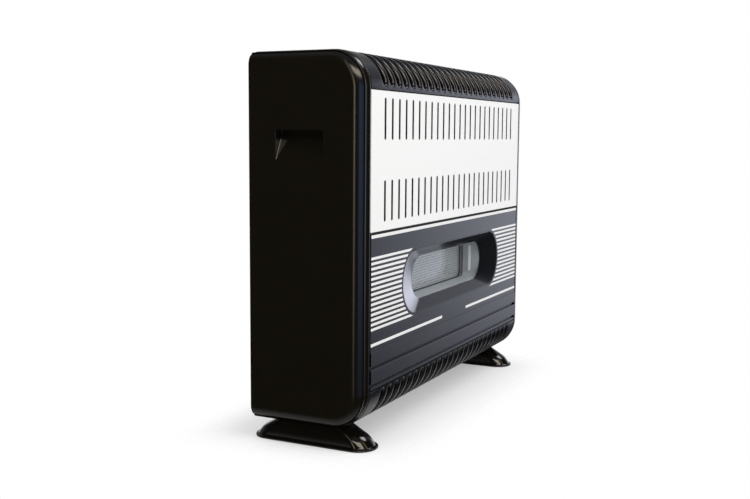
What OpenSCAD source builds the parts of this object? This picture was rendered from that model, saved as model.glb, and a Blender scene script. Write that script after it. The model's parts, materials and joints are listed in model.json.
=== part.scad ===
// Gas convector heater: a slotted sheet steel casing on two feet, hung on a wall bracket.
// Directions: X is the width, Y the depth with the front at low Y, Z the height.
// The casing is drawn with its front at Y = 0 and its underside at Z = 0, and then set on its feet.

/* [Casing] */
// Overall width across the side caps
body_w = 775; // [700:5:1000]
// Height of the casing without its feet
body_h = 602.5; // [580:0.5:660]
// Depth of the casing from the front panels to the back panel
body_d = 208; // [200:1:230]
// Radius of the two front corners, seen from the side
corner_r = 62; // [60:1:68]
// Radius of the two rear corners, seen from the side
rear_corner_r = 8; // [4:1:10]
// Thickness of the steel sheet
sheet_t = 1.2; // [0.8:0.1:1.6]
// Depth of the folded edges of the front panels
fold_d = 14; // [10:1:18]

/* [Side caps] */
// Radius of the rounded edge, which is also how deep a cap reaches inwards
cap_edge_r = 22.5; // [22:0.5:27]
// Wall of the caps
cap_wall = 2.4; // [2:0.1:3]
// Gap between a cap's rim and the front pieces
cap_gap = 2.5; // [1.5:0.5:4]
// Width of the hand grip in each cap
grip_w = 86; // [70:1:100]
// Height of the hand grip's mouth
grip_h = 48; // [40:1:60]
// Depth of the hand grip
grip_depth = 19; // [15:1:20]
// Height of the middle of the hand grips
grip_z = 452.5; // [410:0.5:490]
// Distance of the middle of the hand grips from the front
grip_y = 114.5; // [105:0.5:120]
// How far the hollow reaches up behind the grip's upper lip
grip_hook = 9; // [6:1:14]
// Height of the shadow gap above the grip's sloping floor
grip_throat = 6; // [4:1:10]

/* [Upper front panel] */
// Plain band between the window's bezel and the seam of the two front panels
seam_room = 39.8; // [30:0.1:60]
// Width of the seam between the two front panels
seam_gap = 4; // [2:0.5:6]
// Distance between neighbouring slots
slot_pitch = 27.1; // [24:0.1:34]
// Width of a slot in the panel
slot_w = 6.5; // [4:0.5:10]
// Length of a slot in the panel
slot_len = 66.6; // [50:0.1:80]
// Distance from the panel's upper edge to the upper row of slots
slot_top_edge = 10.8; // [8:0.1:20]
// Distance from the panel's lower edge to the lower row of slots
slot_bottom_edge = 13.9; // [8:0.1:20]
// Plain margin left and right of the rows of slots
slot_margin = 46; // [40:1:60]

/* [Grilles] */
// Thickness of the grilles' skin
grille_t = 3; // [2:0.5:4]
// Depth of the bars between the grille slots
bar_d = 9; // [6:1:12]
// Width of a grille slot
grille_slot_w = 13.8; // [10:0.2:18]
// Height of the plain strip under the top grille's slots
top_bar_h = 8; // [6:1:12]
// How far back the top grille reaches
top_grille_d = 163; // [150:1:170]
// How far back the top grille's slots reach
top_slot_d = 130; // [100:1:140]
// How far back the bottom grille reaches
bottom_grille_d = 98; // [85:1:110]
// How far back the bottom grille's slots reach
bottom_slot_d = 80; // [65:1:84]
// Height of the plain strip above the bottom grille's slots
bottom_bar_h = 5; // [3:0.5:9]

/* [Lower front panel] */
// Height of the lower panel's bottom edge
lower_panel_z = 64; // [60:0.5:70]
// Extra inset of the lower panel's ends
lower_inset = 2; // [0:0.5:4]
// How far the two raised bands stand out
band_out = 1.2; // [0.8:0.1:2]
// Depth of the grooves under the raised bands
groove_d = 4; // [2:0.5:6]
// Height of the grooves
groove_h = 5.5; // [4:0.5:8]
// Height of a raised band
band_h = 21.5; // [16:0.5:24]
// Height of the lip under the lower groove
lip_h = 5; // [3:0.5:8]

/* [Window] */
// Width of the bezel
bezel_w = 478; // [440:2:520]
// Height of the bezel
bezel_h = 112; // [104:1:120]
// Height of the middle of the window
window_z = 219.8; // [210:0.2:226]
// Width of the window's clear opening
window_w = 344; // [310:2:370]
// Height of the window's clear opening
window_h = 76; // [64:1:84]
// How deep the bezel's sloping sides reach
bezel_d = 13.6; // [10:0.2:16]
// Wall of the bezel
bezel_wall = 2; // [1.5:0.5:3]
// Width of the bezel's flange behind the panel
bezel_flange = 8; // [6:1:12]
// Thickness of the ceramic glass
glass_t = 4; // [3:0.5:5]
// Thickness of the glass rope gasket
gasket_t = 3; // [2:0.5:4]
// How far the glass reaches past the clear opening all round
glass_lap = 12; // [8:1:14]
// Wire or rib width of the gauze
gauze_rib = 1.2; // [1:0.2:2]
// Distance between the ribs of the gauze
gauze_pitch = 12; // [10:1:20]
// Corner radius of the tunnel between the bezel and the glass
tunnel_r = 12; // [8:1:20]
// Distance of the glass retainers behind the front plane
retainer_y = 34; // [26:1:38]
// Depth of the glass retainers
retainer_d = 5; // [3:0.5:8]

/* [Feet] */
// Height of the feet under the casing
foot_h = 37; // [34:1:44]
// Length of a foot's base
foot_len = 223; // [205:1:224]
// Width of a foot's base
foot_w = 65; // [60:1:70]
// Length of a foot's top
foot_top_len = 127; // [110:1:150]
// Width of a foot's top
foot_top_w = 44; // [38:1:48]
// How far the middle of a foot lies inside the end of the casing
foot_inset = 48; // [46:0.5:54]
// Wall of the feet
foot_wall = 3; // [2:0.5:4]
// Thickness of the rim around a foot's base
foot_rim_t = 4; // [3:0.5:5]
// Width of the rim around a foot's base
foot_rim_w = 5; // [4:0.5:6]
// How far under the casing a foot's rounded shoulders lie
foot_shoulder = 20; // [16:1:24]
// Distance between the two screws of a foot
foot_screw_gap = 36; // [30:1:42]
// How far the middle of a foot lies in front of the middle of its screws
foot_lead = 17.3; // [17:0.1:20]
// Distance of a foot's front screw behind the bottom grille
foot_screw_set = 12; // [8:1:16]

/* [Combustion chamber] */
// Free space between the combustion chamber and the gas valve
valve_room = 13.3; // [8:0.1:40]
// Height of the combustion chamber
chamber_h = 400; // [360:5:420]
// Height of the combustion chamber's underside
chamber_z = 70; // [66:1:80]
// Depth of the combustion chamber
chamber_d = 92; // [84:1:96]
// Distance of the combustion chamber from the front plane
chamber_y = 58; // [54:1:64]
// Wall of the combustion chamber
chamber_wall = 2; // [1.5:0.5:3]
// Number of cooling ribs on the chamber's front
rib_n = 14; // [8:1:18]
// How far the cooling ribs stand out
rib_out = 16; // [10:1:20]

/* [Flue] */
// Outer radius of the exhaust pipe
exhaust_r = 50; // [40:1:52]
// Outer radius of the fresh air pipe
air_r = 75; // [70:1:80]
// Wall of both flue pipes
flue_wall = 1.5; // [1:0.1:2]
// Height of the middle of the flue
flue_z = 330; // [300:5:360]
// How far the flue pipes stand out behind the casing
flue_out = 45; // [35:1:60]
// Width of the fresh air duct
duct_w = 190; // [180:2:220]

/* [Burner] */
// Outer radius of the burner tube
burner_r = 18; // [14:1:20]
// Wall of the burner tube
burner_wall = 1.5; // [1:0.1:2]
// Free space between an end of the burner and the chamber's end
burner_room = 50; // [40:1:80]
// Height of the burner's axis
burner_z = 114; // [108:1:120]
// Distance between the flame ports
port_pitch = 12; // [10:1:20]
// Radius of a flame port
port_r = 1.5; // [1:0.1:2]
// Radius of the mixing tube
mixer_r = 12; // [10:0.5:13]
// Radius of the injector's body
injector_r = 7; // [6:0.5:8]

/* [Controls] */
// Distance of the control knob's axis from the front
knob_y = 92; // [86:1:96]
// Height of the control knob and the igniter button
knob_z = 190; // [184:1:200]
// Distance between the knob's axis and the igniter button's axis
button_gap = 54; // [46:1:58]
// Width of the control recess
recess_w = 140; // [132:1:150]
// Height of the control recess
recess_h = 78; // [70:1:90]
// Depth of the control recess
recess_d = 20; // [19:0.5:20.5]
// Radius of the control knob
knob_r = 22; // [18:1:24]
// Height of the control knob
knob_h = 14; // [12:0.5:15]
// How far the knob is pressed in to light the pilot
knob_travel = 4; // [3:0.5:5]
// Radius of the valve spindle
spindle_r = 4; // [3:0.5:4]
// Outer radius of the push sleeve
sleeve_r = 6; // [5.5:0.5:7]
// Radius of the igniter's barrel
piezo_r = 8; // [7:0.5:9]
// Radius of the igniter button's stem
button_r = 5; // [4:0.5:5]
// How far the igniter button travels
button_travel = 6; // [4:0.5:6]
// Running clearance of sliding and turning fits
run_fit = 0.05; // [0.02:0.01:0.1]

/* [Gas pipes] */
// Radius of the gas inlet pipe
inlet_r = 7; // [6:0.5:8]
// Outer radius of the inlet's threaded end
union_r = 10.5; // [9:0.5:11]
// Length of the inlet's threaded end
union_len = 16; // [12:1:20]
// Radius of the burner feed pipe
feed_r = 4; // [3:0.5:5]
// Radius of the pilot gas tube
pilot_r = 2; // [1.5:0.5:2]
// Radius of the thermocouple's lead
couple_r = 1.3; // [1:0.1:1.5]
// Radius of the ignition lead
lead_r = 2; // [1.5:0.1:2.2]
// Radius of the thermostat bulb
bulb_r = 4; // [3:0.5:5]
// Length of the thermostat bulb
bulb_len = 80; // [60:5:90]
// Radius of the thermostat's capillary
capillary_r = 1; // [0.8:0.1:1.2]

/* [Wall bracket] */
// Distance between the casing's back and the wall
wall_gap = 15; // [15:1:20]
// Distance between the wall bracket's screw holes
bracket_hole_gap = 500; // [400:10:560]
// Distance from the casing's top down to the bracket's hooks
bracket_drop = 55; // [45:1:90]
// Radius of the bracket's screw holes
bracket_hole_r = 3.5; // [2.5:0.5:4.5]

/* [Hidden] */
$fn = 64;

// Common clearances
seat_gap = 0.3;      // between pieces that rest on each other but are drawn apart
hole_gap = 0.5;      // round a pipe or a rod that passes through a sheet
front_gap = 2;       // between the front panels and the grilles
cut = 1;             // how far a cutting shape reaches past what it cuts

// Widths
half_w = body_w / 2;
rim_x = half_w - cap_edge_r;             // where the caps' rims lie
panel_x = rim_x - cap_gap;               // ends of the upper panel and the grilles
lower_x = panel_x - lower_inset;         // ends of the lower panel
frame_x = lower_x - sheet_t - seat_gap;  // outer faces of the end frames
inside_x = frame_x - sheet_t;            // inner faces of the end frames
rail_x = inside_x - seat_gap;            // ends of the rails and the base plate

// Heights and depths
top_grille_z = body_h - corner_r + 1;
seam_z = window_z + bezel_h / 2 + seam_room;
upper_top_z = top_grille_z - front_gap;
upper_bottom_z = seam_z + seam_gap / 2;
lower_top_z = seam_z - seam_gap / 2;
bottom_grille_z = lower_panel_z - front_gap;
back_y = body_d - sheet_t;               // inner face of the back panel
wall_y = body_d + wall_gap;
flue_end_y = body_d + flue_out;
foot_screw_ys = [for (gap = [0, foot_screw_gap]) bottom_grille_d + foot_screw_set + gap];
foot_mid_y = foot_screw_ys[0] + foot_screw_gap / 2 - foot_lead;
foot_front_y = foot_mid_y - foot_len / 2;
foot_bulge = 0.23;                       // share of a foot's slope that lies under its shoulders
depth_shift = -(min(foot_front_y, -band_out) + flue_end_y) / 2;

// Slots
slot_n = floor((2 * panel_x - 2 * slot_margin) / slot_pitch) + 1;
function slot_x(i) = (i - (slot_n - 1) / 2) * slot_pitch;

// Window stack, from the front to the chamber
glass_y = chamber_y - gasket_t - glass_t;
tunnel_back_y = glass_y;

// Gas valve, which stands beside the chamber
valve_w = 58;
valve_d = 58;
valve_h = 62;
valve_set = 9;                           // between the valve and the end frame
valve_face_x = inside_x - valve_set;
valve_x = valve_face_x - valve_w;
valve_y = knob_y - 28;
valve_z = knob_z - 30;

// Chamber
chamber_back_y = chamber_y + chamber_d;
chamber_x = valve_x - valve_room;
chamber_top_z = chamber_z + chamber_h;
duct_front_y = chamber_back_y + sheet_t + seat_gap;
duct_back_y = back_y - 3 * sheet_t;
duct_z = chamber_z - 34;
duct_top_z = flue_z + air_r + 30;
duct_under_y = chamber_y + 6;
duct_mouth_w = duct_w - 30;
burner_y = chamber_y + chamber_d / 2;
stand_inset = 80;                        // from the chamber's ends to its stands
stand_x = chamber_x - stand_inset;
stand_foot_w = 24;
burner_len = 2 * (chamber_x - burner_room);
burner_bracket_inset = 80;               // from the burner's ends to its brackets
burner_bracket_t = 3;
burner_bracket_d = 16;
fin_margin = 30;                         // between the fin plate and the chamber's edges
air_step = 3;                            // how much thinner the air pipe is inside the casing
air_step_y = 1;                          // and how far behind the casing that ends
air_neck_r = air_r - air_step;           // the air pipe's outer radius inside the casing
air_bore_r = air_neck_r - flue_wall;     // and its bore there
shield_gap = 12;                         // between the duct and the heat shields
shield_set = 22;                         // between the chamber and the heat shields
shield_inset = 8;
deflector_low = 20;                      // between the chamber and the hot air deflector
deflector_fold = 16;

// Controls on the right end frame
recess_x = half_w - recess_d;            // the recess floor's outer face
knob_back_x = recess_x + knob_travel + 1.5;
knob_front_x = knob_back_x + knob_h;
sleeve_front_x = knob_back_x - 2;
sleeve_back_x = valve_face_x - 26;
button_y = knob_y + button_gap;
button_front_x = half_w - 6;
button_cap_h = 5;
button_cap_x = button_front_x - button_cap_h;
piezo_back_x = inside_x - 44;
piezo_flange_t = 2;

// Pilot
pilot_x = burner_len / 2 - 16;
pilot_y = chamber_y + 20;
shelf_z = burner_z - 14;

// Screws
screw_r = 1.7;
screw_head_r = 4;
screw_head_h = 2.2;
boss_r = 4.5;
cap_screw_len = 16;
cap_screws = [for (y = [corner_r - 10, body_d - 26], z = [corner_r - 4, body_h - corner_r - 2]) [y, z]];
back_screw_zs = [40, body_h / 3, body_h * 2 / 3, body_h - 40];
frame_flange = 14;
deflector_y = 140;                       // front edge of the hot air deflector
recess_mid_y = knob_y + button_gap / 2 - 4;
recess_r = 12;

// Wall bracket
bracket_t = 2;
hook_w = 40;
hook_h = 14;
hook_inset = 60;                         // from the bracket's screw holes to its hooks
hook_x = bracket_hole_gap / 2 - hook_inset;
bracket_z = body_h - bracket_drop;
bracket_side = 20;                       // how far the plate reaches past the screw holes
bracket_low = 30;
bracket_high = 12;

// Rails
rail_low = 10;
rail_high = 12;
rail_set = 3;
rail_h = 20;

// Inlet pipe and thermostat bulb
bulb_riser = 10;
bulb_drop = 30;
inlet_x = valve_x + inlet_r + 6;
inlet_y = chamber_back_y + 20;
union_x = inlet_x - 45;                  // the pipe steps inwards, so that it clears the foot
inlet_step_z = chamber_z - 10;
bulb_y = 40;
bulb_z = lower_panel_z + 9;
bulb_end_x = inside_x - 24;

// Puts the drawn casing on its feet, with the whole depth centred
module at_home() {
  translate([0, depth_shift, foot_h]) children();
}

// Extrudes a flat (Y, Z) drawing along X
module along_x(x0, len) {
  translate([x0, 0, 0]) rotate([90, 0, 90]) linear_extrude(len) children();
}

// Extrudes a flat (X, Z) drawing along Y
module along_y(y0, len) {
  translate([0, y0 + len, 0]) rotate([90, 0, 0]) linear_extrude(len) children();
}

// A round bar along X, Y or Z from a start point
module bar_x(x, y, z, r, len) {
  translate([x, y, z]) rotate([0, 90, 0]) cylinder(r = r, h = len);
}
module bar_y(x, y, z, r, len) {
  translate([x, y, z]) rotate([-90, 0, 0]) cylinder(r = r, h = len);
}
module bar_z(x, y, z, r, len) {
  translate([x, y, z]) cylinder(r = r, h = len);
}

// A box from its lowest corner to its highest corner
module block(a, b) {
  translate(a) cube(b - a);
}

function unit(v) = v / norm(v);

// A pipe along straight runs that meet at right angles, with round bends
module pipe(points, r, bend) {
  last = len(points) - 1;
  for (i = [0:last - 1]) {
    dir = unit(points[i + 1] - points[i]);
    from = points[i] + (i > 0 ? bend : 0) * dir;
    run = norm(points[i + 1] - points[i]) - (i > 0 ? bend : 0) - (i < last - 1 ? bend : 0);
    translate(from)
      rotate(dir[2] != 0 ? [dir[2] > 0 ? 0 : 180, 0, 0]
        : dir[0] != 0 ? [0, dir[0] > 0 ? 90 : -90, 0] : [dir[1] > 0 ? -90 : 90, 0, 0])
        cylinder(r = r, h = run);
  }
  for (i = [1:1:last - 1]) {
    a = unit(points[i] - points[i - 1]);
    b = unit(points[i + 1] - points[i]);
    c = cross(a, b);
    o = points[i] - a * bend + b * bend;
    multmatrix([[-b[0], a[0], c[0], o[0]], [-b[1], a[1], c[1], o[1]],
        [-b[2], a[2], c[2], o[2]], [0, 0, 0, 1]])
      rotate_extrude(angle = 90) translate([bend, 0]) circle(r = r);
  }
}

// The casing's outline seen from the side, drawn smaller by an inset
module side_outline(inset) {
  r = corner_r - inset;
  rear_r = max(rear_corner_r - inset, 0.5);
  rear_y = body_d - inset - rear_r;
  for (z = [inset + r, body_h - inset - r]) translate([inset + r, z]) circle(r = r);
  for (z = [inset + rear_r, body_h - inset - rear_r]) translate([rear_y, z]) circle(r = rear_r);
  translate([corner_r, inset]) square([rear_y - corner_r, body_h - 2 * inset]);
  translate([inset, corner_r]) square([body_d - 2 * inset, body_h - 2 * corner_r]);
  translate([corner_r, inset + rear_r])
    square([body_d - inset - corner_r, body_h - 2 * inset - 2 * rear_r]);
}

// A shape with straight sides and round ends, centred
module stadium(w, h) {
  square([w - h, h], center = true);
  for (x = [-1, 1]) translate([x * (w - h) / 2, 0]) circle(d = h);
}

// A rectangle with rounded corners, centred
module soft_rect(w, h, r) {
  square([w - 2 * r, h], center = true);
  square([w, h - 2 * r], center = true);
  for (x = [-1, 1], y = [-1, 1]) translate([x * (w / 2 - r), y * (h / 2 - r)]) circle(r = r);
}

// ---- Side caps, drawn for the right side ----

// The cap's full rounded form, with its walls drawn in by an inset
module cap_form(inset) {
  r = cap_edge_r - inset;
  big_r = corner_r - inset;
  mid = corner_r;
  far = body_d;
  intersection() {
    along_x(rim_x - cut, cap_edge_r - inset + cut) side_outline(inset);
    union() {
      block([rim_x - cut, mid, cap_edge_r], [rim_x + r, far, body_h - cap_edge_r]);
      block([rim_x - cut, cap_edge_r, mid], [rim_x + r, far, body_h - mid]);
      block([rim_x - cut, mid, inset], [rim_x, far, body_h - inset]);
      block([rim_x - cut, inset, mid], [rim_x, far, body_h - mid]);
      bar_z(rim_x, cap_edge_r, mid, r, body_h - 2 * mid);
      bar_y(rim_x, mid, cap_edge_r, r, far - mid);
      bar_y(rim_x, mid, body_h - cap_edge_r, r, far - mid);
      for (z = [mid, body_h - mid]) {
        bar_x(rim_x - cut, mid, z, corner_r - cap_edge_r, r + cut);
        bar_x(rim_x - cut, mid, z, big_r, cut);
        translate([rim_x, mid, z]) rotate([0, 90, 0])
          rotate_extrude() translate([corner_r - cap_edge_r, 0]) circle(r = r);
      }
    }
  }
}

// The space of a hand grip: a floor that slopes in and a hook space behind the upper lip
module grip_space() {
  z0 = grip_z - grip_h / 2;
  z1 = grip_z + grip_h / 2;
  deep_x = half_w - grip_depth;
  lip_x = half_w - cap_wall;
  along_y(grip_y - grip_w / 2, grip_w)
    polygon([[half_w + cut, z0], [half_w, z0], [deep_x, z1 - grip_throat],
      [deep_x, z1 + grip_hook], [lip_x, z1 + grip_hook], [lip_x, z1], [half_w + cut, z1]]);
}

// The walls of a hand grip, which lies against the inside of its cap
module grip_walls() {
  z0 = grip_z - grip_h / 2 - cap_wall;
  z1 = grip_z + grip_h / 2;
  deep_x = half_w - grip_depth - cap_wall;
  near_x = half_w - cap_wall;
  along_y(grip_y - grip_w / 2 - cap_wall, grip_w + 2 * cap_wall)
    polygon([[near_x, z0], [deep_x, z1 - grip_throat - cap_wall],
      [deep_x, z1 + grip_hook + cap_wall], [near_x, z1 + grip_hook + cap_wall]]);
}

// The screw bosses that carry a cap on its end frame
module cap_bosses() {
  difference() {
    for (p = cap_screws)
      bar_x(frame_x, p[0], p[1], boss_r, half_w - cap_wall / 2 - frame_x);
    for (p = cap_screws)
      bar_x(frame_x - cut, p[0], p[1], screw_r + run_fit, cap_screw_len + cut);
  }
}

module plain_cap() {
  difference() {
    intersection() {
      cap_form(0);
      block([rim_x, -cut, -cut], [half_w + cut, body_d + cut, body_h + cut]);
    }
    cap_form(cap_wall);
    grip_space();
  }
  cap_bosses();
}

module plain_grip() {
  color("#14120c") difference() {
    grip_walls();
    grip_space();
  }
}

module left_hand_grip() {
  at_home() mirror([1, 0, 0]) plain_grip();
}

module right_hand_grip() {
  at_home() plain_grip();
}

module left_side_cap() {
  at_home() mirror([1, 0, 0]) color("#14120c") plain_cap();
}

module right_side_cap() {
  at_home() color("#14120c") difference() {
    union() {
      plain_cap();
      translate([0, recess_mid_y, knob_z])
        along_x(recess_x - cap_wall, recess_d + cap_wall)
          soft_rect(recess_w + 2 * cap_wall, recess_h + 2 * cap_wall, recess_r + cap_wall);
    }
    translate([0, recess_mid_y, knob_z])
      along_x(recess_x, recess_d + cut) soft_rect(recess_w, recess_h, recess_r);
    bar_x(recess_x - 2 * cap_wall, knob_y, knob_z, sleeve_r + 2, 4 * cap_wall);
    bar_x(recess_x - 2 * cap_wall, button_y, knob_z, piezo_r + hole_gap, 4 * cap_wall);
  }
}

// ---- Grilles ----

// The (Y, Z) section of a layer of the top grille, between two distances from its outer face
module top_section(near, far, from_z, to_y) {
  centre = [corner_r, body_h - corner_r];
  difference() {
    union() {
      intersection() {
        translate(centre) circle(r = corner_r - near);
        translate([-cut, from_z]) square([corner_r + cut, body_h]);
      }
      translate([corner_r, body_h - far]) square([to_y - corner_r, far - near]);
    }
    translate(centre) circle(r = corner_r - far);
  }
}

// The same for the bottom grille
module bottom_section(near, far, to_z, to_y) {
  centre = [corner_r, corner_r];
  difference() {
    union() {
      intersection() {
        translate(centre) circle(r = corner_r - near);
        translate([-cut, -cut]) square([corner_r + cut, to_z + cut]);
      }
      translate([corner_r, near]) square([to_y - corner_r, far - near]);
    }
    translate(centre) circle(r = corner_r - far);
  }
}

// One slot's cutter: it starts at an angle on the front corner and runs back to a round end
module slot_cutter(centre_z, out_z, angle, depth) {
  reach = 1.3 * corner_r;
  up = out_z > centre_z ? 1 : -1;
  low = [corner_r + reach * cos(angle), centre_z + reach * sin(angle)];
  in_z = out_z - up * 2 * bar_d;
  along_x(-grille_slot_w / 2, grille_slot_w)
    polygon([[corner_r, centre_z], low, [low[0], out_z + up * cut], [depth, out_z + up * cut],
      [depth, in_z], [corner_r, in_z]]);
  bar_z(0, depth, min(in_z, out_z + up * cut), grille_slot_w / 2, 2 * bar_d + cut);
}

module top_grille() {
  span = slot_x(slot_n - 1) + grille_slot_w;
  slot_angle = 180 - asin((1 + top_bar_h) / corner_r);
  at_home() color("#1b1b1e") difference() {
    union() {
      along_x(-panel_x, 2 * panel_x) top_section(0, grille_t, top_grille_z, top_grille_d);
      along_x(-span, 2 * span) top_section(grille_t / 2, bar_d, top_grille_z + top_bar_h / 2,
        top_slot_d + grille_slot_w);
    }
    for (i = [0:slot_n - 1]) translate([slot_x(i), 0, 0])
      slot_cutter(body_h - corner_r, body_h, slot_angle, top_slot_d);
  }
}

module bottom_grille() {
  span = slot_x(slot_n - 1) + grille_slot_w;
  edge_drop = corner_r - bottom_grille_z;
  slot_angle = 180 + asin((edge_drop + bottom_bar_h) / corner_r);
  at_home() color("#1b1b1e") difference() {
    union() {
      along_x(-panel_x, 2 * panel_x) bottom_section(0, grille_t, bottom_grille_z, bottom_grille_d);
      along_x(-span, 2 * span) bottom_section(grille_t / 2, bar_d, bottom_grille_z - bottom_bar_h / 2,
        bottom_slot_d + grille_slot_w * 0.6);
    }
    for (i = [0:slot_n - 1]) translate([slot_x(i), 0, 0])
      slot_cutter(corner_r, 0, slot_angle, bottom_slot_d);
  }
}

// ---- Front panels ----

module upper_front_panel() {
  upper_row_z = upper_top_z - slot_top_edge - slot_len / 2;
  lower_row_z = upper_bottom_z + slot_bottom_edge + slot_len / 2;
  at_home() color("#f2f2f0") difference() {
    block([-panel_x, 0, upper_bottom_z], [panel_x, fold_d, upper_top_z]);
    block([sheet_t - panel_x, sheet_t, upper_bottom_z - cut],
      [panel_x - sheet_t, fold_d + cut, upper_top_z + cut]);
    for (i = [0:slot_n - 1], z = [upper_row_z, lower_row_z])
      translate([slot_x(i), 0, z])
        along_y(-cut, sheet_t + 2 * cut) rotate([0, 0, 90]) stadium(slot_len, slot_w);
  }
}

// The raised bands and grooves along the lower panel's bottom edge, in (Y, Z)
module band_section() {
  back = groove_d + sheet_t;
  z0 = lower_panel_z;
  z1 = z0 + lip_h;
  z2 = z1 + groove_h;
  z3 = z2 + band_h;
  z4 = z3 + 2 + groove_h;
  z5 = z4 + band_h;
  polygon([[0, z0], [0, z1], [groove_d, z1], [groove_d, z2 - 1], [-band_out, z2],
    [-band_out, z3], [0, z3 + 2], [groove_d, z3 + 2], [groove_d, z4 - 1], [-band_out, z4],
    [-band_out, z5], [0, z5 + band_out], [sheet_t, z5 + band_out + sheet_t],
    [back, z5], [back, z0]]);
}

module lower_front_panel() {
  at_home() color("#4b4d53") {
    difference() {
      union() {
        block([-lower_x, 0, lower_panel_z], [lower_x, sheet_t, lower_top_z]);
        for (side = [0, 1]) mirror([side, 0, 0])
          block([lower_x - sheet_t, 0, lower_panel_z], [lower_x, fold_d, lower_top_z]);
        along_x(-rail_x, 2 * rail_x) band_section();
      }
      translate([0, 0, window_z]) along_y(-cut, 3 * cut + sheet_t) stadium(bezel_w, bezel_h);
      for (z = [lower_panel_z + lip_h, lower_panel_z + lip_h + groove_h + band_h + 2])
        block([-half_w, -cut, z], [half_w, groove_d, z + groove_h - 1]);
    }
  }
}

// ---- Window ----

module bezel_slice(y, t, w, h) {
  translate([0, 0, window_z]) along_y(y, t) stadium(w, h, $fn = 32);
}

module window_bezel() {
  out_w = bezel_w - 2 * seat_gap;
  out_h = bezel_h - 2 * seat_gap;
  lip = 0.6;
  at_home() color("#33353a") difference() {
    union() {
      bezel_slice(sheet_t, 1.5, bezel_w + 2 * bezel_flange, bezel_h + 2 * bezel_flange);
      hull() {
        bezel_slice(0, sheet_t + 1.5, out_w, out_h);
        bezel_slice(bezel_d, bezel_wall, window_w + 2 * bezel_wall, window_h + 2 * bezel_wall);
      }
    }
    hull() {
      bezel_slice(-0.1, 0.1, out_w - 2 * lip, out_h - 2 * lip);
      bezel_slice(bezel_d, 0.1, window_w, window_h);
    }
    bezel_slice(0, bezel_d + bezel_wall + cut, window_w, window_h);
  }
}

module window_tunnel() {
  front_y = bezel_d + bezel_wall;
  at_home() translate([0, 0, window_z]) color("#aeb4b6") difference() {
    union() {
      along_y(front_y, tunnel_back_y - front_y)
        soft_rect(window_w + 2 * sheet_t, window_h + 2 * sheet_t, tunnel_r + sheet_t);
      along_y(tunnel_back_y - sheet_t, sheet_t)
        soft_rect(window_w + 2 * glass_lap, window_h + 2 * glass_lap, tunnel_r);
    }
    along_y(front_y - cut, tunnel_back_y - front_y + 2 * cut)
      soft_rect(window_w, window_h, tunnel_r);
  }
}

module glass_retainers() {
  tall = window_h - 2 * tunnel_r;
  at_home() color("#d8dadc") for (side = [0, 1]) mirror([side, 0, 0])
    block([window_w / 2 - 1, retainer_y, window_z - tall / 2],
      [window_w / 2, retainer_y + retainer_d, window_z + tall / 2]);
}

module window_glass() {
  at_home() translate([0, 0, window_z]) color("#c9d2d0", 0.4) along_y(glass_y, glass_t)
    soft_rect(window_w + 2 * glass_lap, window_h + 2 * glass_lap, tunnel_r);
}

module glass_gasket() {
  at_home() translate([0, 0, window_z]) color("#d9d6cc")
    along_y(glass_y + glass_t, gasket_t) difference() {
      soft_rect(window_w + 2 * glass_lap, window_h + 2 * glass_lap, tunnel_r);
      soft_rect(window_w + glass_lap / 2, window_h + glass_lap / 2, tunnel_r);
    }
}

module window_gauze() {
  edge = 8;
  y0 = chamber_y + chamber_wall;
  x_n = floor(window_w / 2 / gauze_pitch);
  z_n = floor(window_h / 2 / gauze_pitch);
  at_home() translate([0, 0, window_z]) color("#9aa19f") along_y(y0, sheet_t) {
    difference() {
      square([window_w + 2 * edge, window_h + 2 * edge], center = true);
      square([window_w, window_h], center = true);
    }
    for (i = [-x_n:x_n]) translate([i * gauze_pitch, 0])
      square([gauze_rib, window_h + edge], center = true);
    for (i = [-z_n:z_n]) translate([0, i * gauze_pitch])
      square([window_w + edge, gauze_rib], center = true);
  }
}

// ---- Frame ----

// The end frame on the right side
module end_frame() {
  difference() {
    union() {
      along_x(inside_x, sheet_t) side_outline(grille_t + seat_gap);
      block([inside_x, sheet_t, lower_panel_z], [frame_x, corner_r, upper_top_z]);
      block([inside_x, body_d / 2, 2 * frame_flange], [frame_x, back_y, body_h - 2 * frame_flange]);
      block([inside_x - frame_flange, back_y - sheet_t, 2 * frame_flange],
        [frame_x, back_y, body_h - 2 * frame_flange]);
    }
    block([inside_x - cut, -cut, lower_panel_z - cut],
      [frame_x + cut, groove_d + sheet_t + seat_gap, lower_panel_z + 2 * band_h + 3 * groove_h]);
    for (p = cap_screws) bar_x(inside_x - cut, p[0], p[1], screw_r + seat_gap, 2 * cut + sheet_t);
    for (z = back_screw_zs)
      bar_y(inside_x - frame_flange / 2, back_y - 2 * sheet_t, z, screw_r + run_fit, 4 * sheet_t);
  }
}

module left_end_frame() {
  at_home() mirror([1, 0, 0]) color("#8d9296") end_frame();
}

module right_end_frame() {
  at_home() color("#8d9296") difference() {
    end_frame();
    bar_x(inside_x - cut, knob_y, knob_z, sleeve_r + 2, sheet_t + 2 * cut);
    bar_x(inside_x - cut, button_y, knob_z, piezo_r + hole_gap, sheet_t + 2 * cut);
  }
}

module top_rail() {
  step_z = upper_top_z - sheet_t;
  back = grille_t + seat_gap;
  at_home() color("#8d9296") along_x(-rail_x, 2 * rail_x)
    polygon([[sheet_t, upper_top_z - 8], [sheet_t, step_z], [back, upper_top_z + 1],
      [back, top_grille_z + top_bar_h / 2 - seat_gap],
      [back + sheet_t, top_grille_z + top_bar_h / 2 - seat_gap],
      [back + sheet_t, upper_top_z + 1], [2 * sheet_t, step_z], [2 * sheet_t, upper_top_z - 8]]);
}

module middle_rail() {
  at_home() color("#8d9296") {
    block([-rail_x, sheet_t, seam_z - rail_low], [rail_x, 2 * sheet_t, seam_z + rail_high]);
    block([-rail_x, sheet_t, seam_z - rail_low], [rail_x, fold_d, seam_z - rail_low + sheet_t]);
  }
}

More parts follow.
